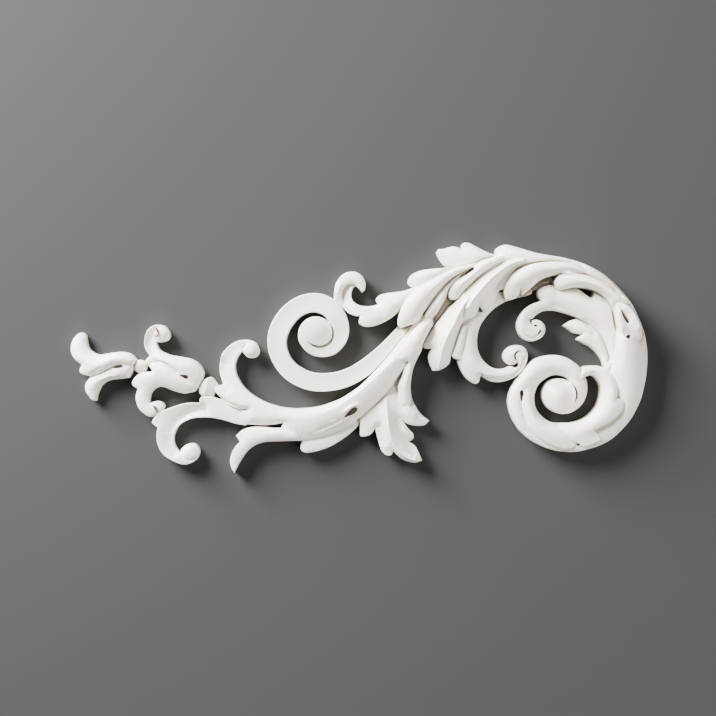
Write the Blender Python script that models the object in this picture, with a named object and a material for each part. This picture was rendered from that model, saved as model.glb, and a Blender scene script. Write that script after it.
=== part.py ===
"""Builds a carved scroll onlay as one casting: acanthus leaves, curls and two bell flowers on a flat back.

The onlay stands upright. X runs along it, Z is up, the flat back lies on the plane Y = 0 and the
carving stands out towards -Y. Its free form is drawn as shares of its own size: places in steps,
578 to the length, from the mounting point on the fat part of the stem, and heights in parts,
twenty-two to the relief. An outline is a ring of runs that meet at its sharp notches and tips. A vein
is a line of places, each with the height on the vein, on the edge left of it and right of it.
"""
import math

import bmesh
import bpy
import numpy as np
from mathutils import Vector, geometry

# Sizes in metres
LENGTH = 0.320            # overall length, from the first flower to the big stem
RELIEF = 0.022            # greatest height above the flat back
EDGE_ROUND = 0.0009       # rounding along every carved edge
POCKET_FLOOR = 0.0030     # what is left under the eyelets and slits
BACK_TRIM = 0.0020        # how far the members run past the back before it is cut flat

STEP = LENGTH / 578.0
PART = RELIEF / 22.0

# Fineness of the facets, in steps
CURVE_TOLERANCE = 0.36
FACE_SPACING = 11.0
VEIN_SPACING = 4.5

# Profile of a member from its vein to its edge
RIDGE, ROUND, FLAT = 1.0, 2.0, 3.5

FLOWER_ONE = [
    [(-319, 17.5), (-315.5, 15.5), (-314.6, 11), (-313.6, 5), (-311, .5), (-308, -2), (-304, -4),
     (-300, -4.7), (-290, -3), (-280, -1.9), (-275, -2.3), (-270, -4), (-267, -6.5), (-264.5, -9.5)],
    [(-264.5, -9.5), (-266.3, -14)],
    [(-266.3, -14), (-271, -15.7), (-277, -15), (-283, -14.9), (-287, -15.8), (-291, -18.4),
     (-296, -21.7), (-301, -24.2), (-306, -26), (-311, -26.2), (-316, -25), (-320.5, -22.7),
     (-321, -19.5), (-319, -15)],
    [(-319, -15), (-325, -10.5), (-329, -5), (-330.2, 0), (-330, 5), (-328, 10.5), (-325, 14.5),
     (-322, 16.7)]]
FLOWER_ONE_VEINS = [
    [(-319, 13, 6.6, 5.5, 5.5), (-322, 3, 8, 5.5, 6), (-318, -9, 9.5, 5.5, 6.5),
     (-308, -15, 10.5, 6, 8.3), (-297, -13.5, 11.3, 6.5, 9), (-287, -9, 12, 6.5, 9.5),
     (-277, -9, 12.2, 6.5, 9.8), (-269, -10.5, 11, 6.5, 9.5)]]

LOWER_PETAL = [
    [(-268, -11), (-267, -16), (-268.3, -22), (-271.5, -28)],
    [(-271.5, -28), (-280, -29), (-290, -30.2), (-295, -32), (-299, -35), (-302, -40), (-304, -45),
     (-305, -51)],
    [(-305, -51), (-308.5, -50.5), (-312, -47), (-315, -42.5), (-316, -38), (-315.5, -34),
     (-311.5, -27.3)],
    [(-311.5, -27.3), (-309, -22)],
    [(-309, -22), (-300, -17), (-290, -12), (-280, -8.5), (-268, -11)]]
LOWER_PETAL_VEINS = [
    [(-306.5, -47, 6.6, 5.5, 5.5), (-309.5, -39, 8, 5.5, 5.5), (-306, -33, 8.8, 5.5, 6),
     (-297, -28.5, 9.3, 6, 6.5), (-287, -24.5, 9.8, 7, 6.5), (-277, -21.5, 10.3, 8, 6.5),
     (-271, -18.5, 10.3, 8, 6.5)]]

FLOWER_TWO = [
    [(-250.5, -5.5), (-253.5, -1.5), (-255.7, 4), (-256, 10), (-255, 15), (-253, 19.5),
     (-250, 22.7), (-246, 24.8), (-242, 25.2), (-238, 24.8), (-234.5, 23), (-232, 20),
     (-230.7, 16), (-231, 13), (-233, 10), (-237, 8.3), (-241, 7.7), (-245, 8.3)],
    [(-245, 8.3), (-242, 2), (-239, -1), (-235, -3), (-230, -5), (-220, -6.7), (-210, -8.8),
     (-206, -10.5), (-203, -12.5), (-200, -15.5), (-198, -19), (-196.7, -23), (-198, -29),
     (-203, -39)],
    [(-203, -39), (-214, -35), (-226, -28), (-236, -21), (-246, -17.3), (-251.5, -16.8)],
    [(-251.5, -16.8), (-254.5, -13.8), (-255, -11), (-250.5, -5.5)]]
FLOWER_TWO_VEINS = [
    [(-236, 16, 8.6, 7.5, 7.5), (-240, 21, 8, 7.5, 7.5), (-246, 19.5, 7, 7, 8.5),
     (-250.5, 12, 6, 7, 8.5), (-250, 4, 6, 7, 8.5), (-246, -4, 8.5, 7.5, 8),
     (-237, -9, 11, 8, 9.5), (-226, -13, 12.3, 8, 9.5), (-212, -17.5, 12.7, 8, 9.5),
     (-202, -25, 11, 7.5, 8.5)],
    [(-252, -11.5, 8.5, 7.5, 7.5), (-245, -12.5, 9.5, 8.5, 8.5)]]

FRONT_PETAL = [
    [(-221.3, -24.2), (-215, -28.5), (-208, -31), (-204.5, -34)],
    [(-204.5, -34), (-204, -40.6)],
    [(-204, -40.6), (-207, -42), (-210, -42.7), (-215, -43.5), (-219, -43), (-229, -40),
     (-234, -37.8), (-238, -36.8), (-242, -37), (-246, -39), (-249.5, -43), (-250.8, -48),
     (-250.7, -53.5)],
    [(-250.7, -53.5), (-248, -52.3), (-244, -51.3), (-240, -51.7), (-237, -53.5), (-236, -56.5),
     (-237.5, -60), (-244, -65.3), (-247.5, -66.7), (-251, -67), (-255, -65), (-259, -61.7),
     (-262, -58), (-264, -53), (-264.7, -47), (-262.8, -39)],
    [(-262.8, -39), (-267.5, -35.7), (-268.5, -33), (-266.5, -28.5), (-263, -25), (-259, -22.7),
     (-255, -22), (-249, -22)],
    [(-249, -22), (-247.7, -20.5), (-249, -18.8)],
    [(-249, -18.8), (-250.3, -16.3), (-248.5, -13.4), (-244, -11.7), (-238.9, -11.9),
     (-232.2, -15.3), (-226, -20.7), (-221.3, -24.2)]]
FRONT_PETAL_VEINS = [
    [(-265, -33, 8.6, 7.5, 7.5), (-257, -29, 9.6, 7.8, 8), (-248, -24.5, 10.8, 9.5, 8.5),
     (-240, -20.5, 12.3, 11.2, 8.5), (-230, -25, 12.8, 12, 8.5), (-219, -31, 12.5, 10.5, 8.5),
     (-209, -36, 11.3, 8, 8)],
    [(-253, -36, 9.5, 7.5, 7.5), (-257.5, -44, 8.8, 7.5, 7.5), (-257.5, -53, 8.5, 7.5, 7.5),
     (-253, -60, 8.6, 7.5, 7.5), (-245, -60.5, 8.8, 7.5, 7.5)]]

COLLAR = [
    [(-201, -37), (-199, -33), (-196, -29.5), (-193, -28), (-189.5, -27)],
    [(-189.5, -27), (-187, -29), (-182, -36)],
    [(-182, -36), (-187, -46)],
    [(-187, -46), (-193, -47), (-199, -46)],
    [(-199, -46), (-201.5, -42)]]
COLLAR_VEINS = [[(-192, -28, 10, 7.5, 7.5), (-197, -46, 9, 7, 7)]]

STEM = [
    [(9, 19.5), (4, 14), (-2, 6), (-10, -4), (-20, -15.5), (-30, -26), (-40, -35.8), (-50, -43),
     (-60, -49), (-70, -53), (-80, -56.3), (-91, -58), (-105, -58.7), (-112, -58.2), (-120, -57),
     (-127, -55), (-133, -53), (-139, -50), (-145, -46.5), (-151, -42), (-157, -36), (-161, -30),
     (-163.5, -25), (-165, -19), (-165, -14), (-163.5, -9), (-161, -4.5), (-158, -1.5)],
    [(-158, -1.5), (-155.3, -4.5), (-152, -7.5), (-148, -8.2), (-144.5, -7.3), (-141.7, -4),
     (-141.2, 0), (-142.5, 4), (-145, 7.5), (-150, 9.8), (-155, 10.2), (-160, 9.8), (-165, 8),
     (-170, 5), (-175, 0), (-178.5, -5), (-180, -11), (-180.7, -18), (-180, -25), (-177, -34.5)],
    [(-177, -34.5), (-180, -35.2), (-183, -36.5), (-185, -39.5), (-184, -42.7), (-178, -49.3),
     (-174, -53), (-169, -56.3), (-163, -58.5), (-155, -60)],
    [(-155, -60), (-158.8, -64), (-159.7, -67), (-158.5, -71), (-155, -73.8), (-148, -74.7),
     (-140, -75.2), (-130, -75), (-117, -73)],
    [(-117, -73), (-119.6, -79.5), (-119.5, -83), (-116, -87.5), (-110, -90), (-100, -91),
     (-90, -90), (-80, -87.5), (-70, -84), (-60, -80), (-50, -74.3), (-40, -67), (-30, -58.5),
     (-20, -49), (-10, -38), (-5, -31), (-1, -25), (3, -20.5), (8, -17)],
    [(8, -17), (13, -13)],
    [(13, -13), (18, -6), (21, -1), (23, 7), (27, 15), (33, 26)],
    [(33, 26), (33, 32), (25, 36), (15, 30)],
    [(15, 30), (9, 19.5)]]
STEM_VEINS = [
    [(28, 27, 13.5, 11, 11), (13, 9, 14.3, 11, 11), (0, -4, 15, 11, 10.5),
     (-16, -19, 16, 11, 10), (-32, -34, 16, 11, 9.5), (-50, -48.5, 15.5, 10.5, 9),
     (-70, -59.5, 14.8, 10, 8.5), (-91, -66, 13.8, 9.5, 8.5), (-112, -67, 12.8, 9, 8.5),
     (-135, -65, 11.5, 8.5, 8.5), (-151, -65, 10.5, 8, 8)],
    [(-120, -63, 12, 8.5, 8.5), (-140, -55, 11, 8.5, 8.5), (-156, -45, 9.5, 8.5, 8.5),
     (-167, -33, 8.3, 8, 8),
     (-172.5, -20, 7.2, 8, 8), (-172, -8, 7.2, 8, 8), (-166, 1, 7.5, 8, 8), (-156, 5, 8, 8, 8),
     (-149, 1, 9, 8, 8)],
    [(-181, -40, 9.6, 8.5, 8.8), (-171, -47.5, 10.7, 8.5, 9.3), (-156, -55.5, 11.7, 8.5, 9.8)]]

LOW_LEAF = [
    [(-178, -49.5), (-183, -48.5), (-188, -46.6), (-193, -46), (-197, -46.3), (-199.5, -47.5),
     (-200.7, -50), (-200.3, -53)],
    [(-200.3, -53), (-205, -53), (-212, -53), (-219, -54.3), (-226, -56.5), (-233, -59),
     (-239, -61.5), (-244, -65), (-247, -69), (-248.8, -73)],
    [(-248.8, -73), (-246, -75.5), (-242.5, -78)],
    [(-242.5, -78), (-243.5, -82), (-243.7, -87), (-243, -93), (-240.5, -100), (-236, -106),
     (-230, -110), (-224, -113), (-217, -115), (-211, -114), (-206, -111.5), (-202.5, -107.5),
     (-201, -102), (-202, -97.5), (-205, -94.5), (-210, -93.8), (-214, -95), (-218.5, -98.5),
     (-220.3, -103)],
    [(-220.3, -103), (-223, -100), (-225.5, -96), (-227, -90), (-226.5, -85), (-224, -79),
     (-221, -75), (-216, -71.5), (-210, -69), (-204, -67.8), (-197, -67.5), (-190, -67.8),
     (-178, -70), (-166, -73.5), (-155, -75.5)],
    [(-155, -75.5), (-150, -70), (-150, -58)],
    [(-150, -58), (-172, -46), (-178, -49.5)]]
LOW_LEAF_VEINS = [
    [(-152, -66, 8.5, 8, 8), (-170, -63, 8, 7, 8), (-190, -58, 8, 8, 8), (-207, -61, 7.6, 8.5, 8),
     (-222, -65, 7.3, 8.5, 8), (-232, -73, 7.2, 8.5, 8), (-235.5, -84, 7.2, 8.5, 8),
     (-233, -96, 7.4, 8.5, 8), (-225, -105, 8, 8, 8), (-214, -106, 9, 8, 8)],
    [(-246, -71, 7.5, 7.5, 7.5), (-239, -69, 7.4, 8, 8)]]

TAIL_LEAF = [
    [(-112, -78), (-119.5, -78), (-125, -78), (-132, -77.5), (-140, -77), (-147, -77.1),
     (-153, -78.3), (-159, -81), (-164, -86)],
    [(-164, -86), (-160, -92)],
    [(-160, -92), (-163, -94.7), (-166, -99), (-169, -105), (-170, -111), (-169, -117),
     (-166, -123)],
    [(-166, -123), (-162, -115), (-158, -108.3), (-154, -102.7), (-149, -98), (-143, -94.5),
     (-137, -92.5), (-131, -91.7), (-120, -91.3), (-102, -90.8)],
    [(-102, -90.8), (-98, -84), (-104, -78)]]
TAIL_LEAF_VEINS = [
    [(-104, -84, 12, 9.5, 10), (-120, -84, 11.6, 9.5, 9.5), (-138, -85, 11, 9.3, 9.3),
     (-152, -89, 10.5, 9.2, 9.2), (-161, -98, 10, 9, 9), (-165.5, -109, 9.6, 8.7, 8.7),
     (-166.3, -119, 9, 8.5, 8.5)],
    [(-162, -86, 9, 8.7, 8.7), (-154, -85, 9.8, 9, 9)]]

LEDGE_LEAF = [
    [(-96, -88), (-98.7, -93), (-99.5, -98.5), (-98, -101.5), (-94, -103), (-88, -102.4),
     (-80, -100.5), (-70, -96.8), (-60, -91), (-50, -83.7), (-41, -75.3)],
    [(-41, -75.3), (-30, -62), (-35, -58)],
    [(-35, -58), (-60, -75), (-96, -86)]]
LEDGE_LEAF_VEINS = [
    [(-93, -96, 9, 8, 8), (-75, -91, 8.7, 8, 7.8), (-57, -82, 8.5, 8, 7.5), (-40, -68, 8, 7.5, 7.5)]]

FORKED_LEAF = [
    [(-40, -60), (-40, -85.5)],
    [(-40, -85.5), (-38, -86.7), (-31, -85.5), (-27.5, -82.5), (-25, -77.8)],
    [(-25, -77.8), (-22.5, -88), (-20.5, -95), (-18.5, -100.5), (-15.5, -104.3), (-12.5, -105.8),
     (-9, -105.2), (-6.5, -101.5)],
    [(-6.5, -101.5), (1, -108.5), (6, -111), (13, -112.7), (18, -112), (22.3, -110.4)],
    [(22.3, -110.4), (18, -101), (15.5, -96.5), (8.7, -91.5)],
    [(8.7, -91.5), (12, -90), (13.8, -87), (13, -83.5), (9, -79.5), (3, -71)],
    [(3, -71), (6, -73), (11, -75), (18, -75.9), (25, -75), (29.2, -70.7)],
    [(29.2, -70.7), (24, -66.8), (19, -61.5), (15.5, -56), (12.5, -50), (11, -42), (10.5, -32)],
    [(10.5, -32), (4, -20), (-4, -22), (-16, -40), (-30, -52), (-40, -60)]]
FORKED_LEAF_VEINS = [
    [(-8, -30, 8, 7, 7), (-12, -50, 10.5, 8, 8), (-12.5, -64, 12.7, 8.7, 8.7),
     (-10, -76, 13.5, 9, 9), (-5, -87, 13, 9, 9), (2, -96, 12, 9, 9), (12, -105, 10.3, 8.7, 8.7),
     (20, -109.5, 9, 8.5, 8.5)],
    [(3, -52, 10, 8.5, 8.5), (8, -60, 11.3, 8.7, 8.7), (14, -65, 11.3, 8.7, 8.7),
     (27, -70.8, 9, 8.5, 8.5)],
    [(-34, -82, 9.8, 9, 9), (-24, -70, 11, 9, 9)],
    [(-13, -101, 9.7, 8.7, 8.7), (-12, -92, 11.3, 9, 9)],
    [(10, -86, 10, 8.7, 8.7), (3, -81, 11.7, 9, 9)]]

VOLUTE = [
    [(12, 24), (5, 16), (-2, 7), (-10, -3), (-20, -14), (-30, -24), (-40, -31), (-50, -36),
     (-60, -39.3), (-70, -41), (-80, -41.5), (-90, -40.5), (-100, -37.5), (-108, -33.5),
     (-115, -28.5), (-122, -21), (-127, -13), (-130.7, -4), (-132.3, 5), (-132.3, 13),
     (-130, 23), (-126, 31.5), (-120, 40), (-112, 47.5), (-101, 54), (-88, 56.8), (-78, 56),
     (-69, 52.3), (-60.5, 45.5), (-54.5, 36.5), (-51.5, 27), (-51, 18.5), (-53.5, 9), (-59, 1),
     (-67, -5), (-77, -7), (-86, -5.8), (-93, -2), (-98.3, 4), (-101.3, 10), (-101.8, 16),
     (-100.5, 22), (-97, 27.5), (-92, 31.5), (-86, 33.4), (-80, 33), (-75, 30.9), (-71.3, 28.3)],
    [(-71.3, 28.3), (-74.5, 33), (-79, 36), (-84, 37.6), (-89, 37.8), (-95, 36), (-101, 32),
     (-106, 26.5), (-110.5, 19.5), (-113.2, 12.5), (-113.8, 5.5), (-112, -2), (-108.3, -9),
     (-103, -14.5), (-96, -19), (-89, -22), (-80, -23.3), (-70, -23), (-60, -21), (-50, -17),
     (-40, -11), (-30, -3.5), (-20, 5), (-11, 14), (-3, 22.5)],
    [(-3, 22.5), (2, 28), (12, 24)]]
VOLUTE_VEINS = [
    [(3, 20, 8.7, 8.7, 8.7), (-12, 4, 8.8, 9, 9), (-28, -13, 9, 9.3, 9.3), (-45, -24.5, 9, 9.4, 9.4),
     (-62, -30.5, 9, 9.4, 9.4), (-80, -32.5, 9, 9.4, 9.4), (-97, -28.5, 9, 9.4, 9.4),
     (-111, -20, 9, 9.4, 9.4), (-120, -8, 9, 9.4, 9.4), (-123, 6, 9, 9.4, 9.4),
     (-120.5, 20, 9, 9.4, 9.4), (-113, 33, 9, 9.4, 9.4), (-102, 43, 9, 9.4, 9.4),
     (-88, 47.5, 9.3, 9.5, 9.3), (-75, 44.5, 9.8, 9.5, 9.6), (-64, 35, 10, 9.5, 10),
     (-58.5, 22, 9, 9, 8.5), (-61, 8, 7.5, 8.6, 5.5), (-70, -1, 7, 8.6, 5), (-82, -2.5, 8, 8.8, 6.5),
     (-92, 3, 9, 9.2, 9), (-96, 12, 10, 9.6, 10), (-94, 22, 10.3, 9.6, 10.3),
     (-84, 20, 10.5, 10, 10)]]

HOOK_LEAF = [
    [(-66, 49), (-65.9, 57), (-65, 64), (-62.5, 69.5), (-59, 74), (-54, 77.3), (-48, 78.4),
     (-43, 77.6), (-38.5, 74.7), (-35.3, 70), (-34.3, 65), (-35.3, 60.5), (-38, 57.8)],
    [(-38, 57.8), (-42.5, 63), (-45, 64), (-47.5, 61), (-48.7, 56), (-48, 51), (-45.5, 47.5),
     (-41, 44.8), (-36, 43.8), (-30, 43.7), (-21.5, 45.6)],
    [(-21.5, 45.6), (-24.2, 50), (-22.5, 53), (-19, 55.3), (-13, 56.7), (-5, 57.7), (3, 58.8),
     (14, 62.5)],
    [(14, 62.5), (10, 64.7), (8, 67.5), (8.5, 71), (11, 74.5), (16, 77.5), (23, 79.7), (33, 81),
     (42, 81.6), (51.5, 83.5)],
    [(51.5, 83.5), (62, 88), (75, 90), (80, 86), (60, 77)],
    [(60, 77), (50, 69.5), (45, 65), (40, 59.5), (35, 52.7), (30, 46), (22.5, 36)],
    [(22.5, 36), (21.3, 33), (19.5, 30), (15, 27), (9, 25), (.5, 22)],
    [(.5, 22), (-1.5, 24.5), (-2, 30), (0, 39.5)],
    [(0, 39.5), (-8, 32.8), (-15, 28.5), (-22, 25.5), (-28, 23.8), (-34, 23.3), (-38.5, 24.7),
     (-41, 27), (-39.7, 35)],
    [(-39.7, 35), (-42, 33.9), (-47, 35), (-52, 37.5), (-60, 45), (-66, 49)]]
HOOK_LEAF_VEINS = [
    [(-39, 63, 8.5, 8, 8.5), (-43, 71, 8.3, 8, 8.5), (-50, 71, 8, 8, 8.5), (-56, 65, 7.4, 8, 8),
     (-57, 56, 7, 8, 8), (-54, 48, 7.2, 8, 8.5), (-47, 41, 8.5, 9.5, 9.5), (-36, 38, 10.3, 10, 10),
     (-22, 39, 12, 10.3, 10), (-8, 44, 13.3, 10.5, 10.5), (4, 51, 13.8, 11, 11),
     (16, 60, 14, 11.5, 11.5), (36, 70, 14, 12, 12), (55, 79, 14, 12, 13), (70, 86, 14.5, 12, 14)],
    [(-19, 51, 11, 10, 10), (-8, 52, 12.5, 10.5, 10.5), (4, 55, 13.3, 11, 11)],
    [(13, 70, 12.5, 11.5, 11.5), (25, 74, 14.3, 12, 12), (40, 78, 15, 12.5, 12.5)],
    [(-35, 29, 10.8, 9.5, 9.5), (-24, 31, 11.8, 10, 10), (-10, 37, 12.8, 10.5, 10.5)]]

LONG_LEAF = [
    [(.2, 39.6), (2, 44), (6, 50.5), (12.5, 58), (22, 65), (33, 71), (43, 76.5), (55, 81.5),
     (65, 83.5), (73, 83)],
    [(73, 83), (66, 79.8), (57.5, 75.3), (50.6, 70.5), (44, 64.2), (37.2, 56.2), (29, 45.3),
     (22.6, 36)],
    [(22.6, 36), (21.4, 33), (19.6, 29.8), (15, 26.8), (9, 24.8), (.4, 21.8)],
    [(.4, 21.8), (-1.7, 24.5), (-2.2, 30), (.2, 39.6)]]
LONG_LEAF_VEINS = [
    [(4, 27, 14.3, 13, 12.5), (9, 37, 16.5, 13.7, 12.5), (18, 48.5, 17.6, 14.6, 12.5),
     (30, 60, 18, 15.4, 12.5), (44, 70.5, 18, 16, 13), (58, 78, 17.6, 16, 14),
     (70, 82, 16.8, 16, 15)]]

HOOK_RIM = [
    [(-66, 49), (-65.9, 57), (-65, 64), (-62.5, 69.5), (-59, 74), (-54, 77.3), (-48, 78.4),
     (-43, 77.6), (-38.5, 74.7), (-35.3, 70), (-34.3, 65), (-35.3, 60.5), (-38, 57.8)],
    [(-38, 57.8), (-41.5, 62), (-45, 65), (-50, 66), (-54, 64.3), (-57.3, 60), (-58.3, 55),
     (-57.3, 50), (-55.5, 46.5)],
    [(-55.5, 46.5), (-60, 44.5), (-66, 49)]]
HOOK_RIM_VEINS = [
    [(-38.5, 61, 9.3, 8.7, 8.7), (-40, 69, 10.3, 9, 9), (-47, 72.5, 10.5, 9.2, 9),
     (-55, 70, 10.3, 9.2, 9), (-60.5, 63, 10, 9, 8.8), (-62, 55, 9.3, 8.5, 8.5),
     (-60, 48, 7.8, 7.2, 7.5)]]

BIG_STEM = [
    [(51.5, 83.5), (47, 84.3), (44, 85.7), (40.5, 90), (37.8, 95), (36.7, 98), (38.5, 100.8)],
    [(38.5, 100.8), (43, 100.9), (48, 102.3), (53, 103.3), (58, 102.3), (61.5, 100.8)],
    [(61.5, 100.8), (63, 102), (61.3, 104), (62.5, 106.3), (66, 107.2), (70, 106.3), (75, 103.8),
     (85, 98.5), (90, 96.5), (97.3, 95)],
    [(97.3, 95), (95.5, 99), (96.5, 101.5), (100, 103.7), (104, 104.8), (109, 104.5), (115, 103),
     (130, 98.5), (140, 96), (150, 94.3), (160, 92.8), (168, 91), (177, 88.5), (186, 85),
     (195, 80.5), (203, 75.5), (211, 69), (220, 60), (228, 50.5), (235, 39.5), (240, 29), (243, 20),
     (245.3, 10), (246.7, 0), (247, -10), (246.5, -20), (245.3, -30), (243, -40), (240, -50),
     (236, -59), (230, -69.5), (222, -79), (211, -89), (200, -95), (188, -99), (176, -101.6),
     (165, -101.7), (152, -99.7), (140, -95.5), (129.5, -89.5), (119, -79.5), (111.5, -66),
     (108.3, -53), (109.5, -42), (113.5, -33.5), (120, -25), (127, -16), (134, -9.5), (142, -6.5),
     (152, -5), (161, -6), (169, -9), (175.5, -13.5), (181.5, -18.5)],
    [(181.5, -18.5), (185, -25), (187, -33), (187, -42), (185, -49), (182, -54), (177, -59),
     (170, -62.8), (163, -63.8), (156, -62.7), (150, -59.5), (145.5, -55), (142.6, -48),
     (142.6, -41), (145, -35), (149, -31), (154, -29), (159, -28.4), (164, -29.2),
     (169.5, -31.5)],
    [(169.5, -31.5), (167, -28.3), (162, -26), (156, -25), (150, -26.2), (144.5, -29.3),
     (139.5, -33.5), (136.2, -39), (134.7, -45), (134.7, -52), (136, -58), (139, -63),
     (143.5, -67.7), (149, -71.3), (155, -73), (162, -73.2), (169, -73), (178, -73),
     (187, -69.5), (193.5, -64.5), (198.5, -58), (201.7, -51), (203, -43), (203.5, -34), (205, -18),
     (211, -5), (214, 10), (214, 28), (210, 44), (203, 53), (190, 61), (172, 69), (155, 79),
     (135, 76), (115, 66)],
    [(115, 66), (100, 60), (85, 62), (65, 76), (51.5, 83.5)]]
BIG_STEM_VEINS = [
    [(43, 96, 11.3, 10, 10), (53, 94, 12.8, 10.3, 11.5), (64, 93, 13.8, 10.5, 12.5),
     (78, 94, 14.6, 10.8, 13), (95, 93, 15, 11, 13.5), (115, 95, 15.3, 11, 14),
     (135, 92.5, 15.7, 11, 14.5), (155, 90, 16.2, 11, 15), (175, 85, 17.2, 11, 15.5),
     (190, 78, 18.2, 11, 16), (204, 66, 19.2, 11.5, 16.5), (215, 50, 20, 11.5, 17),
     (222, 30, 20.4, 11.5, 16.5), (223, 8, 20.4, 11.5, 16.5), (224, -10, 20, 11.5, 15),
     (226, -30, 18.7, 11.5, 10), (226, -46, 17.4, 11.3, 8), (221, -60, 15.8, 11, 8),
     (210, -74, 14.3, 11, 8), (197, -85, 13.4, 10.8, 9), (182, -91.5, 13.2, 10.8, 10),
     (165, -93.5, 13.1, 10.6, 9.5), (150, -90.5, 13, 10.5, 9.5), (136, -83, 13, 10.5, 9.5),
     (124, -71, 13, 10.5, 9.5), (116.8, -58, 13.2, 10.5, 9.5), (116, -46, 13.4, 10.3, 9),
     (120, -36, 13.6, 10.2, 9), (130, -24, 13.6, 10, 9), (142, -16, 13.6, 10, 9),
     (155, -14.5, 13.5, 10, 9), (168, -18.5, 13.3, 10, 9), (176, -27, 13.1, 9.7, 10),
     (179.5, -38, 12.9, 9.3, 10), (178, -49, 12.6, 9.2, 10), (171, -57, 12.6, 9.2, 11),
     (161, -56, 13.5, 9.7, 12.5), (158, -46, 15, 10, 10)],
    [(66, 103, 11.8, 10.8, 10.8), (76, 98, 13.6, 11, 12)],
    [(101, 100.5, 12.7, 11.5, 11.5), (113, 98, 14.8, 11.3, 13)]]

SIDE_FINGER = [
    [(24, 34.5), (24.7, 32), (27, 30), (29.5, 29.3), (32, 30.7), (37, 37), (40, 41.5), (46, 52),
     (50, 62), (54, 67), (66, 77.5)],
    [(66, 77.5), (60, 77), (50, 69.5), (40, 60), (32, 49)]]
SIDE_FINGER_VEINS = [
    [(28, 33, 13.3, 12, 11.5), (37, 46, 14.7, 12, 11), (46, 60, 15.3, 12, 11), (58, 73, 15.5, 13, 12)]]

WEB = [[(27, 27), (36, 23), (43, 31), (53, 44), (64, 56), (52, 61), (36, 46), (27, 35)]]
WEB_VEINS = [[(38, 36, 8, 8, 8), (52, 51, 8, 8, 8)]]

RECESS = [[(120, 57), (130, 59), (137, 60.5), (146, 63.5), (162, 66), (170, 74), (158, 79), (140, 75),
           (124, 67)]]
RECESS_VEINS = [[(134, 60, 3.5, 3.5, 3.5), (154, 71, 3.5, 3.5, 3.5)]]

UPPER_FINGER = [
    [(48, 57), (48.5, 53), (50.5, 50.7), (54, 50), (58, 51.3)],
    [(58, 51.3), (65, 59.5), (70, 64.5), (75, 69.3), (80, 73.5), (88, 80), (95, 84.7),
     (103, 88.7), (112, 91.5)],
    [(112, 91.5), (104, 93.6), (96, 93.3), (88, 91.2), (80, 88.3), (73, 82)],
    [(73, 82), (65, 75.3), (60, 72), (55, 69), (51, 64)]]
UPPER_FINGER_VEINS = [
    [(52.5, 55.5, 14.7, 13, 12.5), (58, 63.5, 16.7, 13.8, 12.5), (67, 71, 17.8, 14.5, 12.5),
     (80, 81, 18.2, 15, 12.5), (96, 89, 17.8, 15.8, 14)]]

RIDGED_LEAF = [
    [(62, 60), (55, 47.8), (50, 43.3), (45, 37.5), (40, 31), (35, 24.5), (30, 17.5), (26, 12),
     (23.7, 8), (23.3, 5), (24.5, 2), (32, 1)],
    [(32, 1), (29.7, -2), (28.2, -7), (29.3, -13), (32.5, -20.6)],
    [(32.5, -20.6), (36, -20.9), (41, -19.5), (46, -16.5), (49.3, -13), (50.7, -6.5)],
    [(50.7, -6.5), (54.5, 2), (57, 9), (61.5, 22), (66, 40)],
    [(66, 40), (75, 55), (62, 60)]]
RIDGED_LEAF_VEINS = [
    [(68, 52, 17, 12, 12), (59, 38, 18, 12, 12), (53, 25, 17.8, 11.5, 11.5),
     (46.5, 13, 17, 11.5, 11), (42, 1, 15.8, 11, 10.5), (40, -10, 14, 11, 10.5),
     (38, -20, 11.5, 10.3, 10.3)]]

BROAD_LEAF = [
    [(54, 45), (53.8, 41), (55, 37), (60.5, 28.2)],
    [(60.5, 28.2), (64, 29), (68, 30.3), (72, 31.8), (75.5, 35), (78, 40)],
    [(78, 40), (86, 37.8), (90, 41), (95, 51), (98, 57), (104, 67), (110, 75), (117, 81),
     (125, 85), (135, 87.5)],
    [(135, 87.5), (128, 92), (116, 92.5), (105, 89.3), (95, 84.5), (85, 78.7), (77, 73),
     (70, 66.5), (63, 58.5)]]
BROAD_LEAF_VEINS = [
    [(61, 29.5, 12.3, 11.5, 11.5), (63.8, 35.5, 14.8, 12, 11), (67, 42, 17, 12.2, 10.5),
     (71.5, 49.5, 18.3, 12.3, 10), (77.2, 57, 19, 12.3, 9.5), (84, 65, 19.5, 12.5, 9.5),
     (92, 73, 19.6, 12.7, 10), (101, 80, 19.2, 13, 11), (111, 86, 18.3, 14, 12),
     (122, 89, 17.2, 15, 13)]]

SMALL_FINGER = [
    [(63, 25.5), (60, 20), (57.5, 12.5), (55.5, 5), (53.8, 0), (52, -5)],
    [(52, -5), (53, -7.5), (56, -9.3), (61.3, -9.7)],
    [(61.3, -9.7), (62.7, -2), (64.3, 8), (67, 24)],
    [(67, 24), (63, 25.5)]]
SMALL_FINGER_VEINS = [
    [(64, 20, 14.3, 12, 12.5), (60.5, 5, 14, 12, 12.3), (57.3, -6, 12.5, 11.3, 11.3)]]

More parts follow.
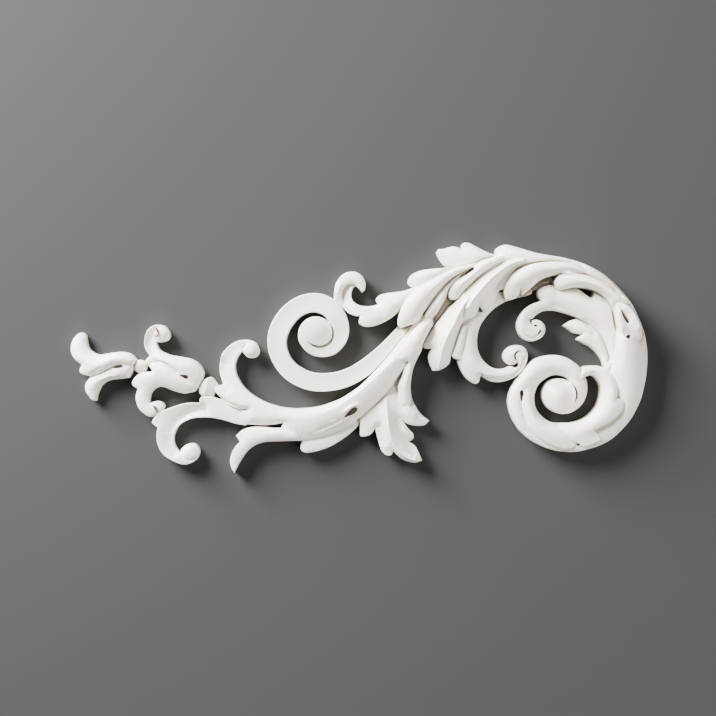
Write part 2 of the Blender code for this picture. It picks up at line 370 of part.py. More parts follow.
INNER_STEM = [
    [(60, 28), (62, 20), (61, 8), (59.3, -2), (58.3, -8)],
    [(58.3, -8), (57.5, -11.5)],
    [(57.5, -11.5), (59, -15.5), (61, -20), (63.5, -24.5), (67, -29), (71, -32), (75, -34),
     (78.5, -32.5), (81, -24.7)],
    [(81, -24.7), (83.5, -27.5), (88, -30.3), (94, -32), (101, -32), (108, -30.3), (114, -27.7),
     (120, -23.3), (124.5, -17.5), (127.5, -10.5), (128, -5), (126.5, 0), (122.5, 3.8), (117, 5),
     (112, 4.3), (107, 1.5), (104.2, -2.3), (103.3, -6.5), (104.8, -11), (108.3, -14),
     (112.5, -15), (118.8, -12)],
    [(118.8, -12), (119, -15), (117, -17.5), (110.5, -16)],
    [(110.5, -16), (106, -18), (101, -19), (95, -18.5), (90, -16.3), (85, -12.3), (81.5, -8),
     (79, -3), (77.5, 2), (77, 8), (77.3, 13), (78.5, 19), (81, 25.5), (85, 31.5), (90, 37.5),
     (95, 42), (100, 45.5), (110, 50), (120, 52.8), (127, 54.3), (132, 56.3)],
    [(132, 56.3), (133, 61), (120, 62), (100, 58), (85, 52), (72, 42), (60, 28)]]
INNER_STEM_VEINS = [
    [(129, 58, 6.5, 6.5, 7), (118, 55.5, 7, 7, 7), (100, 51, 8.5, 7.5, 8), (86, 42, 9.5, 8, 9),
     (76, 30, 11, 8, 10), (71, 18, 12.5, 8.5, 10.5), (69.5, 4, 13, 8.8, 10.5),
     (71, -10, 13, 9, 10), (78, -20, 12.5, 9, 9), (90, -24.5, 11.5, 8.5, 8.5),
     (104, -25, 10.5, 8.5, 8.5), (115, -20.5, 10, 8.5, 8), (122, -12, 10, 8.5, 8),
     (122, -3, 10, 8.5, 8), (115, .5, 10, 8.5, 8), (108.5, -5, 10, 8.5, 8),
     (112, -11.5, 9.5, 8, 8)],
    [(73, -30, 10, 8.5, 8.5), (71, -17, 12.3, 10, 9)]]

HANGING_LEAF = [
    [(23, 29), (15, 22), (9, 15), (3, 7), (-1, 0), (-3, -5), (-2, -8.5), (1, -11), (8, -12.3)],
    [(8, -12.3), (4, -18), (2, -26), (-1.8, -35), (-1.8, -44), (-.4, -52.4), (3.8, -57),
     (8.7, -56.7), (10.8, -51), (10.5, -40), (11, -30), (13, -19), (17, -9), (21, -1),
     (23, 7), (27, 15), (33, 26)],
    [(33, 26), (33, 33), (23, 29)]]
HANGING_LEAF_VEINS = [
    [(26, 25, 16.8, 14, 14), (16, 10, 17.5, 14, 15.5), (11, -5, 17, 11.5, 15.7),
     (9.5, -19, 14.5, 11, 11), (5.5, -35, 13.3, 10.5, 10.5), (4.5, -50, 12.5, 10.3, 10.3)],
    [(2, -6, 16.8, 15.5, 16), (9, 4, 17.4, 15, 15.7)]]

TOP_LEAF = [
    [(105.5, 50.3), (104, 54), (103.6, 59), (105, 65), (108.8, 71.5), (114.5, 77.7), (122, 82),
     (130, 85), (140, 87), (152, 87.8), (165, 87.4), (180, 84)],
    [(180, 84), (188, 76), (180, 68), (170, 66), (159, 75.3)],
    [(159, 75.3), (153, 74.2), (147, 72.7), (141, 70.3), (135.5, 66.3), (130, 61.3), (122, 54.5)],
    [(122, 54.5), (121.2, 57.5), (119.7, 60), (118.6, 57), (117.6, 54)],
    [(117.6, 54), (114, 51.5), (110, 49.9)]]
TOP_LEAF_VEINS = [
    [(109, 55, 14.7, 13.3, 12.5), (112.5, 64, 17, 14.3, 13), (120.5, 72.5, 18.8, 15.6, 13),
     (133, 78.5, 19.7, 17, 13), (150, 81, 20, 17.8, 14), (168, 79, 20, 18.3, 15),
     (178, 77, 18.8, 17.6, 15.5), (186, 74, 17, 16.5, 15)]]

UNDER_LEAF = [
    [(159, 75.5), (156, 72.5), (153.7, 68.5), (154, 64.5), (156.3, 61), (160, 60), (164, 60.6),
     (170, 61.8), (177, 62.3), (184, 61.8), (190, 60.3), (196, 58.2), (202, 55), (208, 51),
     (215, 43)],
    [(215, 43), (222, 40), (226, 48), (215, 57)],
    [(215, 57), (206, 63), (197, 68.5), (185, 73.7), (172, 76.3), (164, 76.5)]]
UNDER_LEAF_VEINS = [
    [(158, 68, 17, 15.5, 14.5), (168, 69, 19.5, 18, 15), (182, 68, 20.7, 19.6, 15.5),
     (198, 62, 21.2, 20.2, 16), (213, 50, 21.4, 20.4, 17.5)]]

INNER_LEAF = [
    [(141.7, 49.3), (139.3, 52), (137.8, 56), (138.8, 60), (142.5, 62.8), (148, 64.5),
     (153.5, 65.3)],
    [(153.5, 65.3), (165, 67), (177, 62)],
    [(177, 62), (180, 59.7), (185, 55.7), (189.5, 52.8), (192, 52.5), (194, 57.3)],
    [(194, 57.3), (198, 60), (206, 54), (216, 42), (219, 25), (221, 5), (218, -15), (213, -27),
     (210.5, -22)],
    [(210.5, -22), (210, -14), (208, -4), (205, 5), (201, 14), (196, 20.5), (191, 25), (179, 31.7)],
    [(179, 31.7), (175, 33.7), (170, 35.6), (163, 37.8), (156, 39.3), (150, 39.7), (143, 38.8),
     (138, 36.3), (134, 33), (131.3, 29.3)],
    [(131.3, 29.3), (134, 30.2), (138, 30), (142, 28), (144.8, 24), (145, 18.5), (142, 13),
     (137, 10), (131, 8.8), (125, 10.5), (121, 14), (118.3, 18.5), (117, 24), (118, 30),
     (121, 36), (125, 41), (130, 44.7), (135, 47)]]
INNER_LEAF_VEINS = [
    [(213, -14, 15.5, 14, 13.5), (211.5, 5, 15.8, 14, 13), (206, 22, 15.8, 13.8, 12),
     (196, 36, 15.6, 13.4, 11), (183, 46, 15.2, 12.6, 10.5), (168, 51, 14.4, 11, 10.5),
     (152, 51, 13, 9.8, 10.8), (138, 44, 11.8, 8.7, 11.2), (128, 40, 11.5, 8.7, 11.2),
     (122, 31, 12.3, 9, 10.5), (122, 20, 12.3, 10, 9.5), (129, 13.7, 11.6, 9.7, 9.5),
     (138, 15, 11.3, 9.7, 9.5), (141.5, 21, 11.3, 9.7, 9.5), (138, 26, 11.3, 9.7, 9.5)],
    [(141, 57, 12.5, 11.3, 11.3), (150, 58, 14, 11.5, 11.5)]]

TOOTHED_LEAF = [
    [(179, 31.7), (175, 30.6), (170, 29), (166.5, 26.7), (163.7, 24.4)],
    [(163.7, 24.4), (167, 22.3), (171, 19.3), (174, 17.3), (178, 16.2), (182.3, 15.7)],
    [(182.3, 15.7), (181, 14.3), (178.5, 12.5), (177.3, 10.3)],
    [(177.3, 10.3), (182, 8), (186, 5.8), (191, 3.3), (196, -1), (199, -4.5), (202.5, -10),
     (205, -17), (208, -24)],
    [(208, -24), (216, -24), (216, 0), (208, 18), (195, 32), (183, 34)]]
TOOTHED_LEAF_VEINS = [
    [(166, 24.5, 10, 9.3, 9.3), (176, 24, 11.6, 10, 9.5), (187, 18.5, 12.7, 11, 9.7),
     (196.5, 8, 13, 11, 9.7), (204.5, -7, 13, 11, 9.7), (209, -20, 13, 11, 10)],
    [(179, 11.5, 10, 9.5, 9.5), (187, 12, 12, 10, 9.7)]]

TWIN_LEAF = [
    [(214.5, 46.5), (213.3, 41), (213.8, 33), (215, 25), (217.3, 18), (220, 14.5), (223, 13.8)],
    [(223, 13.8), (226.7, 15.2)],
    [(226.7, 15.2), (227.5, 11.8), (230, 10.8), (238, 9.8)],
    [(238, 9.8), (239.8, 17), (238, 26), (234, 35), (228, 42), (221, 45.8)]]
TWIN_LEAF_VEINS = [
    [(215.5, 43, 21.4, 20.8, 20.6), (217.2, 33, 21.8, 20.6, 20.6), (220.5, 20, 21, 19.8, 20.2)],
    [(221, 42, 21.5, 20.4, 20.5), (229, 34, 22, 18.8, 20.5), (233, 24, 21.6, 17.2, 20.3),
     (233, 14, 20.2, 16.8, 19.8)]]

WRAP_LEAF = [
    [(181.7, -18.5), (184, -16.6), (190, -15.7), (196, -15.8), (202, -17.5), (207, -20.5),
     (210.5, -25), (213.7, -31), (215.5, -37), (215.6, -42.5), (214.7, -47.8)],
    [(214.7, -47.8), (218, -48.5), (221.3, -48)],
    [(221.3, -48), (222, -52), (220.8, -58), (217.5, -63.5), (212.5, -68.7), (206.5, -73),
     (193, -80.3)],
    [(193, -80.3), (196, -82.5), (198.5, -86), (199.7, -89.5)],
    [(199.7, -89.5), (193, -93), (183, -96.3), (176.5, -93)],
    [(176.5, -93), (165, -90), (155, -85), (153, -79), (160, -75), (170, -72.9)],
    [(170, -72.9), (178, -71), (185, -67.8), (191, -63), (196, -57), (199, -50), (200.3, -43),
     (200.2, -36), (198, -31), (194.5, -27), (190, -25), (185, -26.3)],
    [(185, -26.3), (179.7, -28.6)],
    [(179.7, -28.6), (180.3, -24), (181.7, -18.5)]]
WRAP_LEAF_VEINS = [
    [(183, -22, 15.2, 14, 13), (192, -20, 16, 14.4, 13), (202, -22.5, 17, 15.2, 13),
     (208, -31, 18, 16.3, 13), (210, -44, 18.8, 17.2, 13), (208.5, -57, 18.5, 17.2, 13),
     (201, -68, 17.3, 16.3, 13), (189, -77, 16, 15.3, 12), (177, -82, 15.4, 14.3, 11.5),
     (166, -81, 14, 13, 11), (156, -80, 12.3, 12, 11)],
    [(192, -88, 14.2, 13.6, 12.7), (181, -88, 14.8, 13.7, 13)]]

RING_LEAF = [
    [(121.3, -52), (122, -58), (123.3, -64), (126, -71.5), (129.5, -78), (134.5, -84), (140, -89),
     (147, -93.5), (155, -97), (163, -99)],
    [(163, -99), (172, -97), (176, -90), (168, -80), (148, -73.3)],
    [(148, -73.3), (142, -69), (137.5, -63.8), (134.3, -58), (133, -52), (133, -45)],
    [(133, -45), (130, -38), (124, -38), (121.3, -52)]]
RING_LEAF_VEINS = [
    [(127, -42, 13.8, 11, 13), (128.5, -55, 14.8, 11, 14), (133, -67, 15.4, 11, 14.4),
     (142, -77.5, 15.6, 11, 14.5), (154, -84, 15.4, 11, 14.2), (166, -86, 14.4, 11, 13.3),
     (172, -87, 13, 11, 12.5)]]

# Turned knobs at the ends of the curls: centre, radius, crown, edge
KNOBS = [((-260.7, -16.5), 6.6, 9.0, 5.5), ((-238.8, 16.2), 7.0, 9.6, 7.2),
         ((-243.2, -58.6), 6.0, 8.7, 6.7), ((-149.2, .8), 7.4, 10.6, 8.0),
         ((-209.4, -102.7), 7.8, 10.4, 8.0)]

# Eyelets, slits and the crevices round the two eyes, all sunk to the same floor
POCKETS = [
    [[(-288, -17), (-283, -15.3), (-278.5, -14.8), (-276.7, -16.2), (-279, -17.8), (-284, -18.3)]],
    [[(-221.8, -24), (-217, -24.7), (-212.7, -24.9), (-211.2, -26.6), (-212.7, -28.5), (-217, -27.6)]],
    [[(-55.7, -67), (-53, -63), (-50, -59.5), (-47, -57.2), (-43.7, -57), (-42.3, -59),
      (-43.5, -61.7), (-47, -64.3), (-51.5, -66)]],
    [[(62.5, 73.5), (66, 75), (70, 77.5), (73.3, 80), (73.3, 81.5), (71.5, 81.7), (68, 79.3)]],
    [[(78.3, 38.5), (78.7, 42.3), (79.6, 43.5), (80.6, 42), (82.6, 38)]],
    [[(119.2, -41), (119.7, -47), (121.2, -51.8), (122.5, -47), (123, -41.5), (121.1, -39.8)]],
    [[(133, 24.5), (135, 25.6), (137.2, 24.3), (135, 23.2)]],
    [[(137.3, 16), (138.3, 15.3), (139.7, 16.7), (140.9, 19), (139.7, 20.7), (138.3, 18.3)]],
    [[(129.2, 30.5), (130.2, 26.3), (132.3, 24.7), (131.7, 27.5), (132.4, 31)]],
    [[(120.5, 0), (116.5, -1), (114.3, -3.5), (113.8, -6.5), (114.7, -9.4), (116.8, -10),
      (115.9, -7.3), (116, -4.5), (117.5, -2.3)]],
    [[(176.2, -93.2), (178, -93.2), (179.3, -94.8), (177, -95.8)]],
    [[(-71.3, 28.6), (-68.7, 25), (-66.4, 20), (-66.2, 14), (-68, 8.7), (-72, 4.4), (-77, 2.3),
      (-82, 2), (-87.5, 3.8)],
     [(-87.5, 3.8), (-92.8, 8.7), (-87, 5.8), (-79, 4.6), (-73, 7), (-69.3, 11), (-67.9, 17),
      (-68.7, 23), (-71.3, 28.6)]],
    [[(169.5, -31), (173, -34.5), (176, -39), (177.3, -44.5), (176.3, -49), (172.7, -53.7)],
     [(172.7, -53.7), (174.8, -48), (174.8, -42), (172.8, -36.3), (169.5, -31)]],
    [[(216.3, 40.5), (219.5, 37.8), (223, 33), (226.2, 27.3), (225, 25.8), (222, 28.7),
      (219, 34)]],
    [[(222.3, 13.6), (226.8, 15.2), (226.6, 11.3), (224.3, 11.3)]]]


def bend(knots, spacing):
    """Runs a smooth curve through the knots of one run; any heights they carry change evenly."""
    rows = np.array(knots, dtype=float)
    if len(rows) == 1:
        return rows
    place = rows[:, :2]
    around = np.vstack([2 * place[0] - place[1], place, 2 * place[-1] - place[-2]])
    out = []
    for i in range(len(rows) - 1):
        a, b, c, d = around[i:i + 4]
        ab, bc, cd = (max(math.sqrt(np.linalg.norm(q - p)), 1e-3) for p, q in ((a, b), (b, c), (c, d)))
        leave = ((b - a) / ab - (c - a) / (ab + bc) + (c - b) / bc) * bc
        arrive = ((c - b) / bc - (d - b) / (bc + cd) + (d - c) / cd) * bc
        count = max(1, math.ceil(np.linalg.norm(c - b) / spacing))
        for k in range(count):
            t = k / count
            if len(rows) > 2:
                at = (b * (2 * t ** 3 - 3 * t * t + 1) + leave * (t ** 3 - 2 * t * t + t)
                      + c * (3 * t * t - 2 * t ** 3) + arrive * (t ** 3 - t * t))
            else:
                at = b + (c - b) * t
            out.append(np.concatenate([at, rows[i, 2:] * (1 - t) + rows[i + 1, 2:] * t]))
    out.append(rows[-1])
    return np.array(out)


def thin(run, tolerance):
    """Drops the samples that a straight facet follows within the tolerance."""
    a, b = run[0], run[-1]
    if len(run) < 3:
        return [a, b]
    span = b - a
    t = np.clip((run - a) @ span / max(span @ span, 1e-9), 0, 1)
    off = np.linalg.norm(run - a - t[:, None] * span, axis=1)
    at = int(np.argmax(off))
    if off[at] <= tolerance:
        return [a, b]
    return thin(run[:at + 1], tolerance)[:-1] + thin(run[at:], tolerance)


def outline_of(runs, tolerance):
    """Joins the runs of an outline into one closed loop."""
    loop = []
    for i, run in enumerate(runs):
        following = runs[(i + 1) % len(runs)][0]
        if run[-1] != following:
            run = list(run) + [following]
        if len(runs) == 1:
            around = np.array([run[-2]] + run + [run[1]], dtype=float)
            curve = bend(around, 0.8)
            start = math.ceil(np.linalg.norm(around[1] - around[0]) / 0.8)
            end = math.ceil(np.linalg.norm(around[-1] - around[-2]) / 0.8)
            curve = curve[start:len(curve) - end]
            half = len(curve) // 2
            loop += thin(curve[:half + 1], tolerance)[:-1] + thin(curve[half:], tolerance)[:-1]
        else:
            loop += thin(bend(run, 0.8), tolerance)[:-1]
    return np.array(loop)


def circle(centre, radius, count):
    """Returns the outline of a turned knob."""
    turns = [math.tau * i / count for i in range(count)]
    return np.array([(centre[0] + radius * math.cos(t), centre[1] + radius * math.sin(t)) for t in turns])


def edge_distances(points, loop):
    """Returns how far each point is from the outline, in steps."""
    best = np.full(len(points), 1e9)
    for a, b in zip(loop, np.roll(loop, -1, axis=0)):
        span = b - a
        t = np.clip((points - a) @ span / max(span @ span, 1e-9), 0, 1)
        best = np.minimum(best, np.linalg.norm(points - a - t[:, None] * span, axis=1))
    return best


def inside(points, loop):
    """Tells which of the points lie inside the outline."""
    odd = np.zeros(len(points), dtype=bool)
    for a, b in zip(loop, np.roll(loop, -1, axis=0)):
        if a[1] == b[1]:
            continue
        crosses = (a[1] > points[:, 1]) != (b[1] > points[:, 1])
        at = (b[0] - a[0]) * (points[:, 1] - a[1]) / (b[1] - a[1]) + a[0]
        odd ^= crosses & (points[:, 0] < at)
    return odd


def carved_heights(points, gaps, veins, fall):
    """Returns the carved height at each point, in parts, from the veins and the distance to the edge."""
    rows, ways = [], []
    for vein in veins:
        path = bend(vein, 1.5)
        way = np.gradient(path[:, :2], axis=0) if len(path) > 1 else np.array([[1.0, 0.0]])
        rows.append(path)
        ways.append(way / np.maximum(np.linalg.norm(way, axis=1), 1e-9)[:, None])
    rows, ways = np.vstack(rows), np.vstack(ways)
    away = points[:, None, :] - rows[None, :, :2]
    reach = np.linalg.norm(away, axis=2)
    weight = 1.0 / (reach ** 2 + 0.3) ** 2
    weight /= weight.sum(axis=1, keepdims=True)
    turn = (ways[:, 0] * away[:, :, 1] - ways[:, 1] * away[:, :, 0]) / np.maximum(reach, 1e-6)
    lean = 0.5 + 0.5 * np.clip((weight * turn).sum(axis=1), -1, 1)
    crest, left, right = (weight @ rows[:, k] for k in (2, 3, 4))
    edge = left * lean + right * (1 - lean)
    near = reach.min(axis=1)
    across = near / np.maximum(near + gaps, 1e-6)
    return edge + (crest - edge) * (1 - across ** fall)


def spread(loop, veins, bevel):
    """Returns the points inside a face: a row behind the rounded edge, the veins, and an even fill."""
    turn = np.sum(loop[:, 0] * np.roll(loop[:, 1], -1) - np.roll(loop[:, 0], -1) * loop[:, 1])
    sign = 1.0 if turn > 0 else -1.0
    rim = []
    for before, at, after in zip(np.roll(loop, 1, axis=0), loop, np.roll(loop, -1, axis=0)):
        come = (at - before) / max(np.linalg.norm(at - before), 1e-9)
        way = come + (after - at) / max(np.linalg.norm(after - at), 1e-9)
        if np.linalg.norm(way) > 0.2:
            way /= np.linalg.norm(way)
            rim.append(at + np.array([-way[1], way[0]]) * sign * bevel / max(0.35, come @ way))
    low, high = loop.min(axis=0), loop.max(axis=0)
    fill = []
    for row, y in enumerate(np.arange(low[1] + 2, high[1], FACE_SPACING * 0.87)):
        for x in np.arange(low[0] + 2 + (row % 2) * FACE_SPACING / 2, high[0], FACE_SPACING):
            fill.append((x, y))
    spine = np.vstack([bend(v, VEIN_SPACING)[:, :2] for v in veins])
    kept = []
    for group, room in ((rim, 0.9), (spine, 3.5), (fill, FACE_SPACING * 0.62)):
        if not len(group):
            continue
        group = np.array(group)
        group = group[inside(group, loop)]
        group = group[edge_distances(group, loop) > bevel * 0.93]
        for p in group:
            if all((p[0] - q[0]) ** 2 + (p[1] - q[1]) ** 2 >= room * room for q in kept):
                kept.append(p)
    return np.array(kept)


def filled(loop, inner):
    """Fills an outline with triangles that use its own points and the given ones inside it."""
    points = [Vector(p) for p in (np.vstack([loop, inner]) if len(inner) else loop)]
    flat, _, faces, _, _, _ = geometry.delaunay_2d_cdt(points, [], [list(range(len(loop)))], 0, 1e-5, False)
    flat = np.array([tuple(p) for p in flat])
    middles = np.array([flat[face].mean(axis=0) for face in faces])
    return flat, [face for face, kept in zip(faces, inside(middles, loop)) if kept]


def close_solid(name, flat, faces, heights, bottom):
    """Closes a carved face with straight walls and a bottom, and returns it as an object."""
    bm = bmesh.new()
    top = [bm.verts.new((p[0] * STEP, -h, p[1] * STEP)) for p, h in zip(flat, heights)]
    low = [bm.verts.new((p[0] * STEP, bottom, p[1] * STEP)) for p in flat]
    sides = set()
    for face in faces:
        bm.faces.new([top[i] for i in face])
        bm.faces.new([low[i] for i in reversed(face)])
        sides.update((face[k], face[(k + 1) % len(face)]) for k in range(len(face)))
    for i, j in sorted(sides):
        if (j, i) not in sides:
            bm.faces.new((top[j], top[i], low[i], low[j]))
    bmesh.ops.delete(bm, geom=[v for v in bm.verts if not v.link_faces], context="VERTS")
    bmesh.ops.recalc_face_normals(bm, faces=bm.faces)
    mesh = bpy.data.meshes.new(name)
    bm.to_mesh(mesh)
    bm.free()
    piece = bpy.data.objects.new(name, mesh)
    bpy.context.scene.collection.objects.link(piece)
    return piece


def carve(name, loop, veins, fall, order):
    """Builds one member: a carved face inside its outline, with a rounded edge, as a closed solid."""
    bevel = EDGE_ROUND / STEP
    flat, faces = filled(loop, spread(loop, veins, bevel))
    gaps = edge_distances(flat, loop)
    heights = carved_heights(flat, gaps, veins, fall) * PART
    heights -= EDGE_ROUND * 0.75 * np.clip(1 - gaps / (bevel * 0.9), 0, 1)
    return close_solid(name, flat, faces, heights, BACK_TRIM * (1 + 0.03 * order))


def sink(name, loop, order):
    """Builds the cutter of a pocket, from its floor to above the carving."""
    flat, faces = filled(loop, [])
    floor = POCKET_FLOOR * (1 + 0.01 * order)
    return close_solid(name, flat, faces, np.full(len(flat), RELIEF * 1.3), -floor)


def combine(body, tool, operation):
    """Joins a member to the body, or cuts a tool out of it, with a Boolean.

    It takes the manifold solver: where two carved faces cross at a shallow angle, or undersides
    lie close together, the exact one leaves facets open.
    """
    modifier = body.modifiers.new(operation.lower(), "BOOLEAN")
    modifier.operation = operation
    modifier.object = tool
    modifier.solver = "MANIFOLD"
    depsgraph = bpy.context.evaluated_depsgraph_get()
    mesh = bpy.data.meshes.new_from_object(body.evaluated_get(depsgraph))
    body.modifiers.clear()
    body.data = mesh
    bpy.data.objects.remove(tool)


def white_cast():
    """Returns the white cast material."""
    material = bpy.data.materials.new("white_cast")
    material.use_nodes = True
    shader = material.node_tree.nodes["Principled BSDF"]
    shader.inputs["Base Color"].default_value = (0.78, 0.77, 0.75, 1.0)
    shader.inputs["Roughness"].default_value = 0.6
    return material


def members():
    """Lists the members from the lowest leaf to the topmost one: name, outline, veins and profile."""
    return [
        ("stem", STEM, STEM_VEINS, ROUND), ("flower_one", FLOWER_ONE, FLOWER_ONE_VEINS, ROUND),
        ("lower_petal", LOWER_PETAL, LOWER_PETAL_VEINS, ROUND),
        ("flower_two", FLOWER_TWO, FLOWER_TWO_VEINS, ROUND),
        ("front_petal", FRONT_PETAL, FRONT_PETAL_VEINS, ROUND), ("collar", COLLAR, COLLAR_VEINS, RIDGE),
        ("low_leaf", LOW_LEAF, LOW_LEAF_VEINS, ROUND), ("tail_leaf", TAIL_LEAF, TAIL_LEAF_VEINS, ROUND),
        ("ledge_leaf", LEDGE_LEAF, LEDGE_LEAF_VEINS, ROUND),
        ("forked_leaf", FORKED_LEAF, FORKED_LEAF_VEINS, RIDGE),
        ("volute", VOLUTE, VOLUTE_VEINS, FLAT), ("hook_leaf", HOOK_LEAF, HOOK_LEAF_VEINS, ROUND),
        ("hook_rim", HOOK_RIM, HOOK_RIM_VEINS, ROUND), ("long_leaf", LONG_LEAF, LONG_LEAF_VEINS, ROUND),
        ("big_stem", BIG_STEM, BIG_STEM_VEINS, ROUND), ("web", WEB, WEB_VEINS, ROUND),
        ("recess", RECESS, RECESS_VEINS, ROUND), ("side_finger", SIDE_FINGER, SIDE_FINGER_VEINS, ROUND),
        ("upper_finger", UPPER_FINGER, UPPER_FINGER_VEINS, ROUND),
        ("ridged_leaf", RIDGED_LEAF, RIDGED_LEAF_VEINS, RIDGE),
        ("broad_leaf", BROAD_LEAF, BROAD_LEAF_VEINS, RIDGE),
        ("small_finger", SMALL_FINGER, SMALL_FINGER_VEINS, ROUND),
        ("inner_stem", INNER_STEM, INNER_STEM_VEINS, ROUND),
        ("hanging_leaf", HANGING_LEAF, HANGING_LEAF_VEINS, ROUND),
        ("toothed_leaf", TOOTHED_LEAF, TOOTHED_LEAF_VEINS, ROUND),
        ("inner_leaf", INNER_LEAF, INNER_LEAF_VEINS, ROUND),
        ("top_leaf", TOP_LEAF, TOP_LEAF_VEINS, ROUND), ("under_leaf", UNDER_LEAF, UNDER_LEAF_VEINS, ROUND),
        ("twin_leaf", TWIN_LEAF, TWIN_LEAF_VEINS, ROUND), ("wrap_leaf", WRAP_LEAF, WRAP_LEAF_VEINS, ROUND),
        ("ring_leaf", RING_LEAF, RING_LEAF_VEINS, ROUND)]


def main():
    """Builds the onlay."""
    for leftover in list(bpy.data.objects):
        bpy.data.objects.remove(leftover, do_unlink=True)
    body = None
    order = 0
    for name, runs, veins, fall in members():
        piece = carve(name, outline_of(runs, CURVE_TOLERANCE), veins, fall, order)
        order += 1
        if body is None:
            body = piece
        else:
            combine(body, piece, "UNION")
    for centre, radius, crown, edge in KNOBS:
        vein = [[(centre[0], centre[1], crown, edge, edge)]]
        piece = carve("knob", circle(centre, radius, 18), vein, ROUND, order)
        order += 1
        combine(body, piece, "UNION")
    for order, runs in enumerate(POCKETS):
        combine(body, sink("pocket", outline_of(runs, CURVE_TOLERANCE), order), "DIFFERENCE")
    behind = bpy.data.meshes.new("behind")
    bm = bmesh.new()
    bmesh.ops.create_cube(bm, size=1.0)
    for v in bm.verts:
        v.co = Vector((v.co.x * LENGTH * 1.5, (v.co.y + 0.5) * BACK_TRIM * 5, v.co.z * LENGTH))
    bm.to_mesh(behind)
    bm.free()
    wall = bpy.data.objects.new("behind", behind)
    bpy.context.scene.collection.objects.link(wall)
    combine(body, wall, "DIFFERENCE")
    body.name = "scroll_onlay"
    body.data.name = "scroll_onlay"
    body.data.materials.clear()
    body.data.materials.append(white_cast())
    print("onlay:", len(body.data.vertices), "points,", len(body.data.polygons), "faces")


main()
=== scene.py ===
"""Dresses the carved scroll onlay: one white casting with crisp carved leaves, curls and bell flowers.

The carving is drawn as in the CAD, as shares of the onlay's own size: places in steps, 578 to the
length, from the mounting point, and heights in parts, twenty-two to the relief. It is built here with
a fine face, a true quarter round along every edge and the soft creases that the casting shows.
"""

import logging
import math
from dataclasses import dataclass
from enum import Enum

import bmesh
import bpy
import numpy as np
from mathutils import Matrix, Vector, geometry


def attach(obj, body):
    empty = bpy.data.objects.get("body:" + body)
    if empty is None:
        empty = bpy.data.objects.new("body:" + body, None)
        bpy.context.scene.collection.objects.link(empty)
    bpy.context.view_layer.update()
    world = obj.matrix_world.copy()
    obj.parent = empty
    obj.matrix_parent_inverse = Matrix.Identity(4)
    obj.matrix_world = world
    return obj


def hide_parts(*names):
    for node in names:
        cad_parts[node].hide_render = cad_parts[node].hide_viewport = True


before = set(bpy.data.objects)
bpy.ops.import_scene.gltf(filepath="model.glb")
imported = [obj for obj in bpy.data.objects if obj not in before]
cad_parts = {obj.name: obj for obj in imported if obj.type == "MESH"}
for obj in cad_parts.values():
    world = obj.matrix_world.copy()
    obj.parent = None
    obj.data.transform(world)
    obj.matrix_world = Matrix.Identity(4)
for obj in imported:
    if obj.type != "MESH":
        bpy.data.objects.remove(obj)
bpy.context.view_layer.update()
LOG = logging.getLogger("scroll_onlay")

# Sizes in metres, as in the CAD
LENGTH = 0.320
RELIEF = 0.022
EDGE_ROUND = 0.0006
POCKET_FLOOR = 0.0030
BACK_TRIM = 0.0020

# One step of the drawing and one part of its heights, in metres
STEP = LENGTH / 578.0
PART = RELIEF / 22.0

# Spacing of the points along the drawing's lines and across a face, in steps
OUTLINE_SPACING = 1.25
POCKET_SPACING = 0.8
VEIN_SPACING = 1.5
SPINE_SPACING = 1.6
LINE_SPACING = 0.8
GROOVE_SPACING = 0.7
FACE_SPACING = 2.3
KNOB_POINTS = 40

# Rows of points behind an edge: depth as a share of the edge round, and the room of each in steps
EDGE_ROWS = ((0.07, 0.3), (0.3, 0.3), (0.65, 0.3), (1.1, 0.75))
# Rows along a groove, in half widths, and round a member that lies over a face, in steps
GROOVE_ROWS = (0, -0.6, 0.6, -1.3, 1.3)
VALLEY_ROWS = (-0.3, -1.1, -2.2, -3.8)
# Room that the points of these rows, of the veins and of the face leave one another, in steps
ROW_ROOM = 0.45
VEIN_ROOM = 0.9
FACE_ROOM = FACE_SPACING * 0.6

# How far a face is smoothed, in steps: on rounded members, and on those with crisp facets
SOFTENING = 1.5
CRISP = 0.7

# Length over which a groove fades out at its ends, in steps
GROOVE_FADE = 6.0

# Points worked out at a time, to spare memory: for heights, and for smoothing
HEIGHT_BATCH = 2000
SMOOTH_BATCH = 800

# Valley beside a member that stands up over a face: depth in parts, half width in steps, the share of
# the rise that it takes, and how far below the face that member may lie, in parts
VALLEY_DEPTH = 3.2
VALLEY_WIDTH = 2.5
VALLEY_SHARE = 0.8
VALLEY_START = 0.5

# Shallow meetings of two faces are eased this often, where the faces look forward and meet gently
EASE_ROUNDS = 4
EASE_FORWARD = 0.75
EASE_ANGLE = 0.45
# Edges steeper than this are shaded sharp
SHARP_ANGLE = math.radians(38)

Run = list[tuple[float, float]]
Vein = list[tuple[float, float, float, float, float]]
Faces = list[list[int]]


class Profile(Enum):
    """Section of a member from its vein to its edge."""

    RIDGE = 1.0
    ROUND = 2.0
    FLAT = 3.5


RIDGE, ROUND, FLAT = Profile.RIDGE, Profile.ROUND, Profile.FLAT


@dataclass(frozen=True)
class Member:
    """One carved leaf, stem or petal of the casting.

    Args:
        name: What it is.
        runs: The runs of its outline. Each ends where the next one starts, at a sharp notch or tip.
        veins: Places with the height on the vein and on the edges left and right of it.
        profile: Its section from vein to edge.
        softening: How far its face is smoothed, in steps.
    """

    name: str
    runs: list[Run]
    veins: list[Vein]
    profile: Profile = ROUND
    softening: float = SOFTENING


@dataclass(frozen=True)
class Knob:
    """The turned knob at the end of a curl.

    Args:
        centre: Its centre, in steps.
        radius: Its radius, in steps.
        crown: Its height in the middle, in parts.
        edge: Its height at the edge, in parts.
    """

    centre: tuple[float, float]
    radius: float
    crown: float
    edge: float


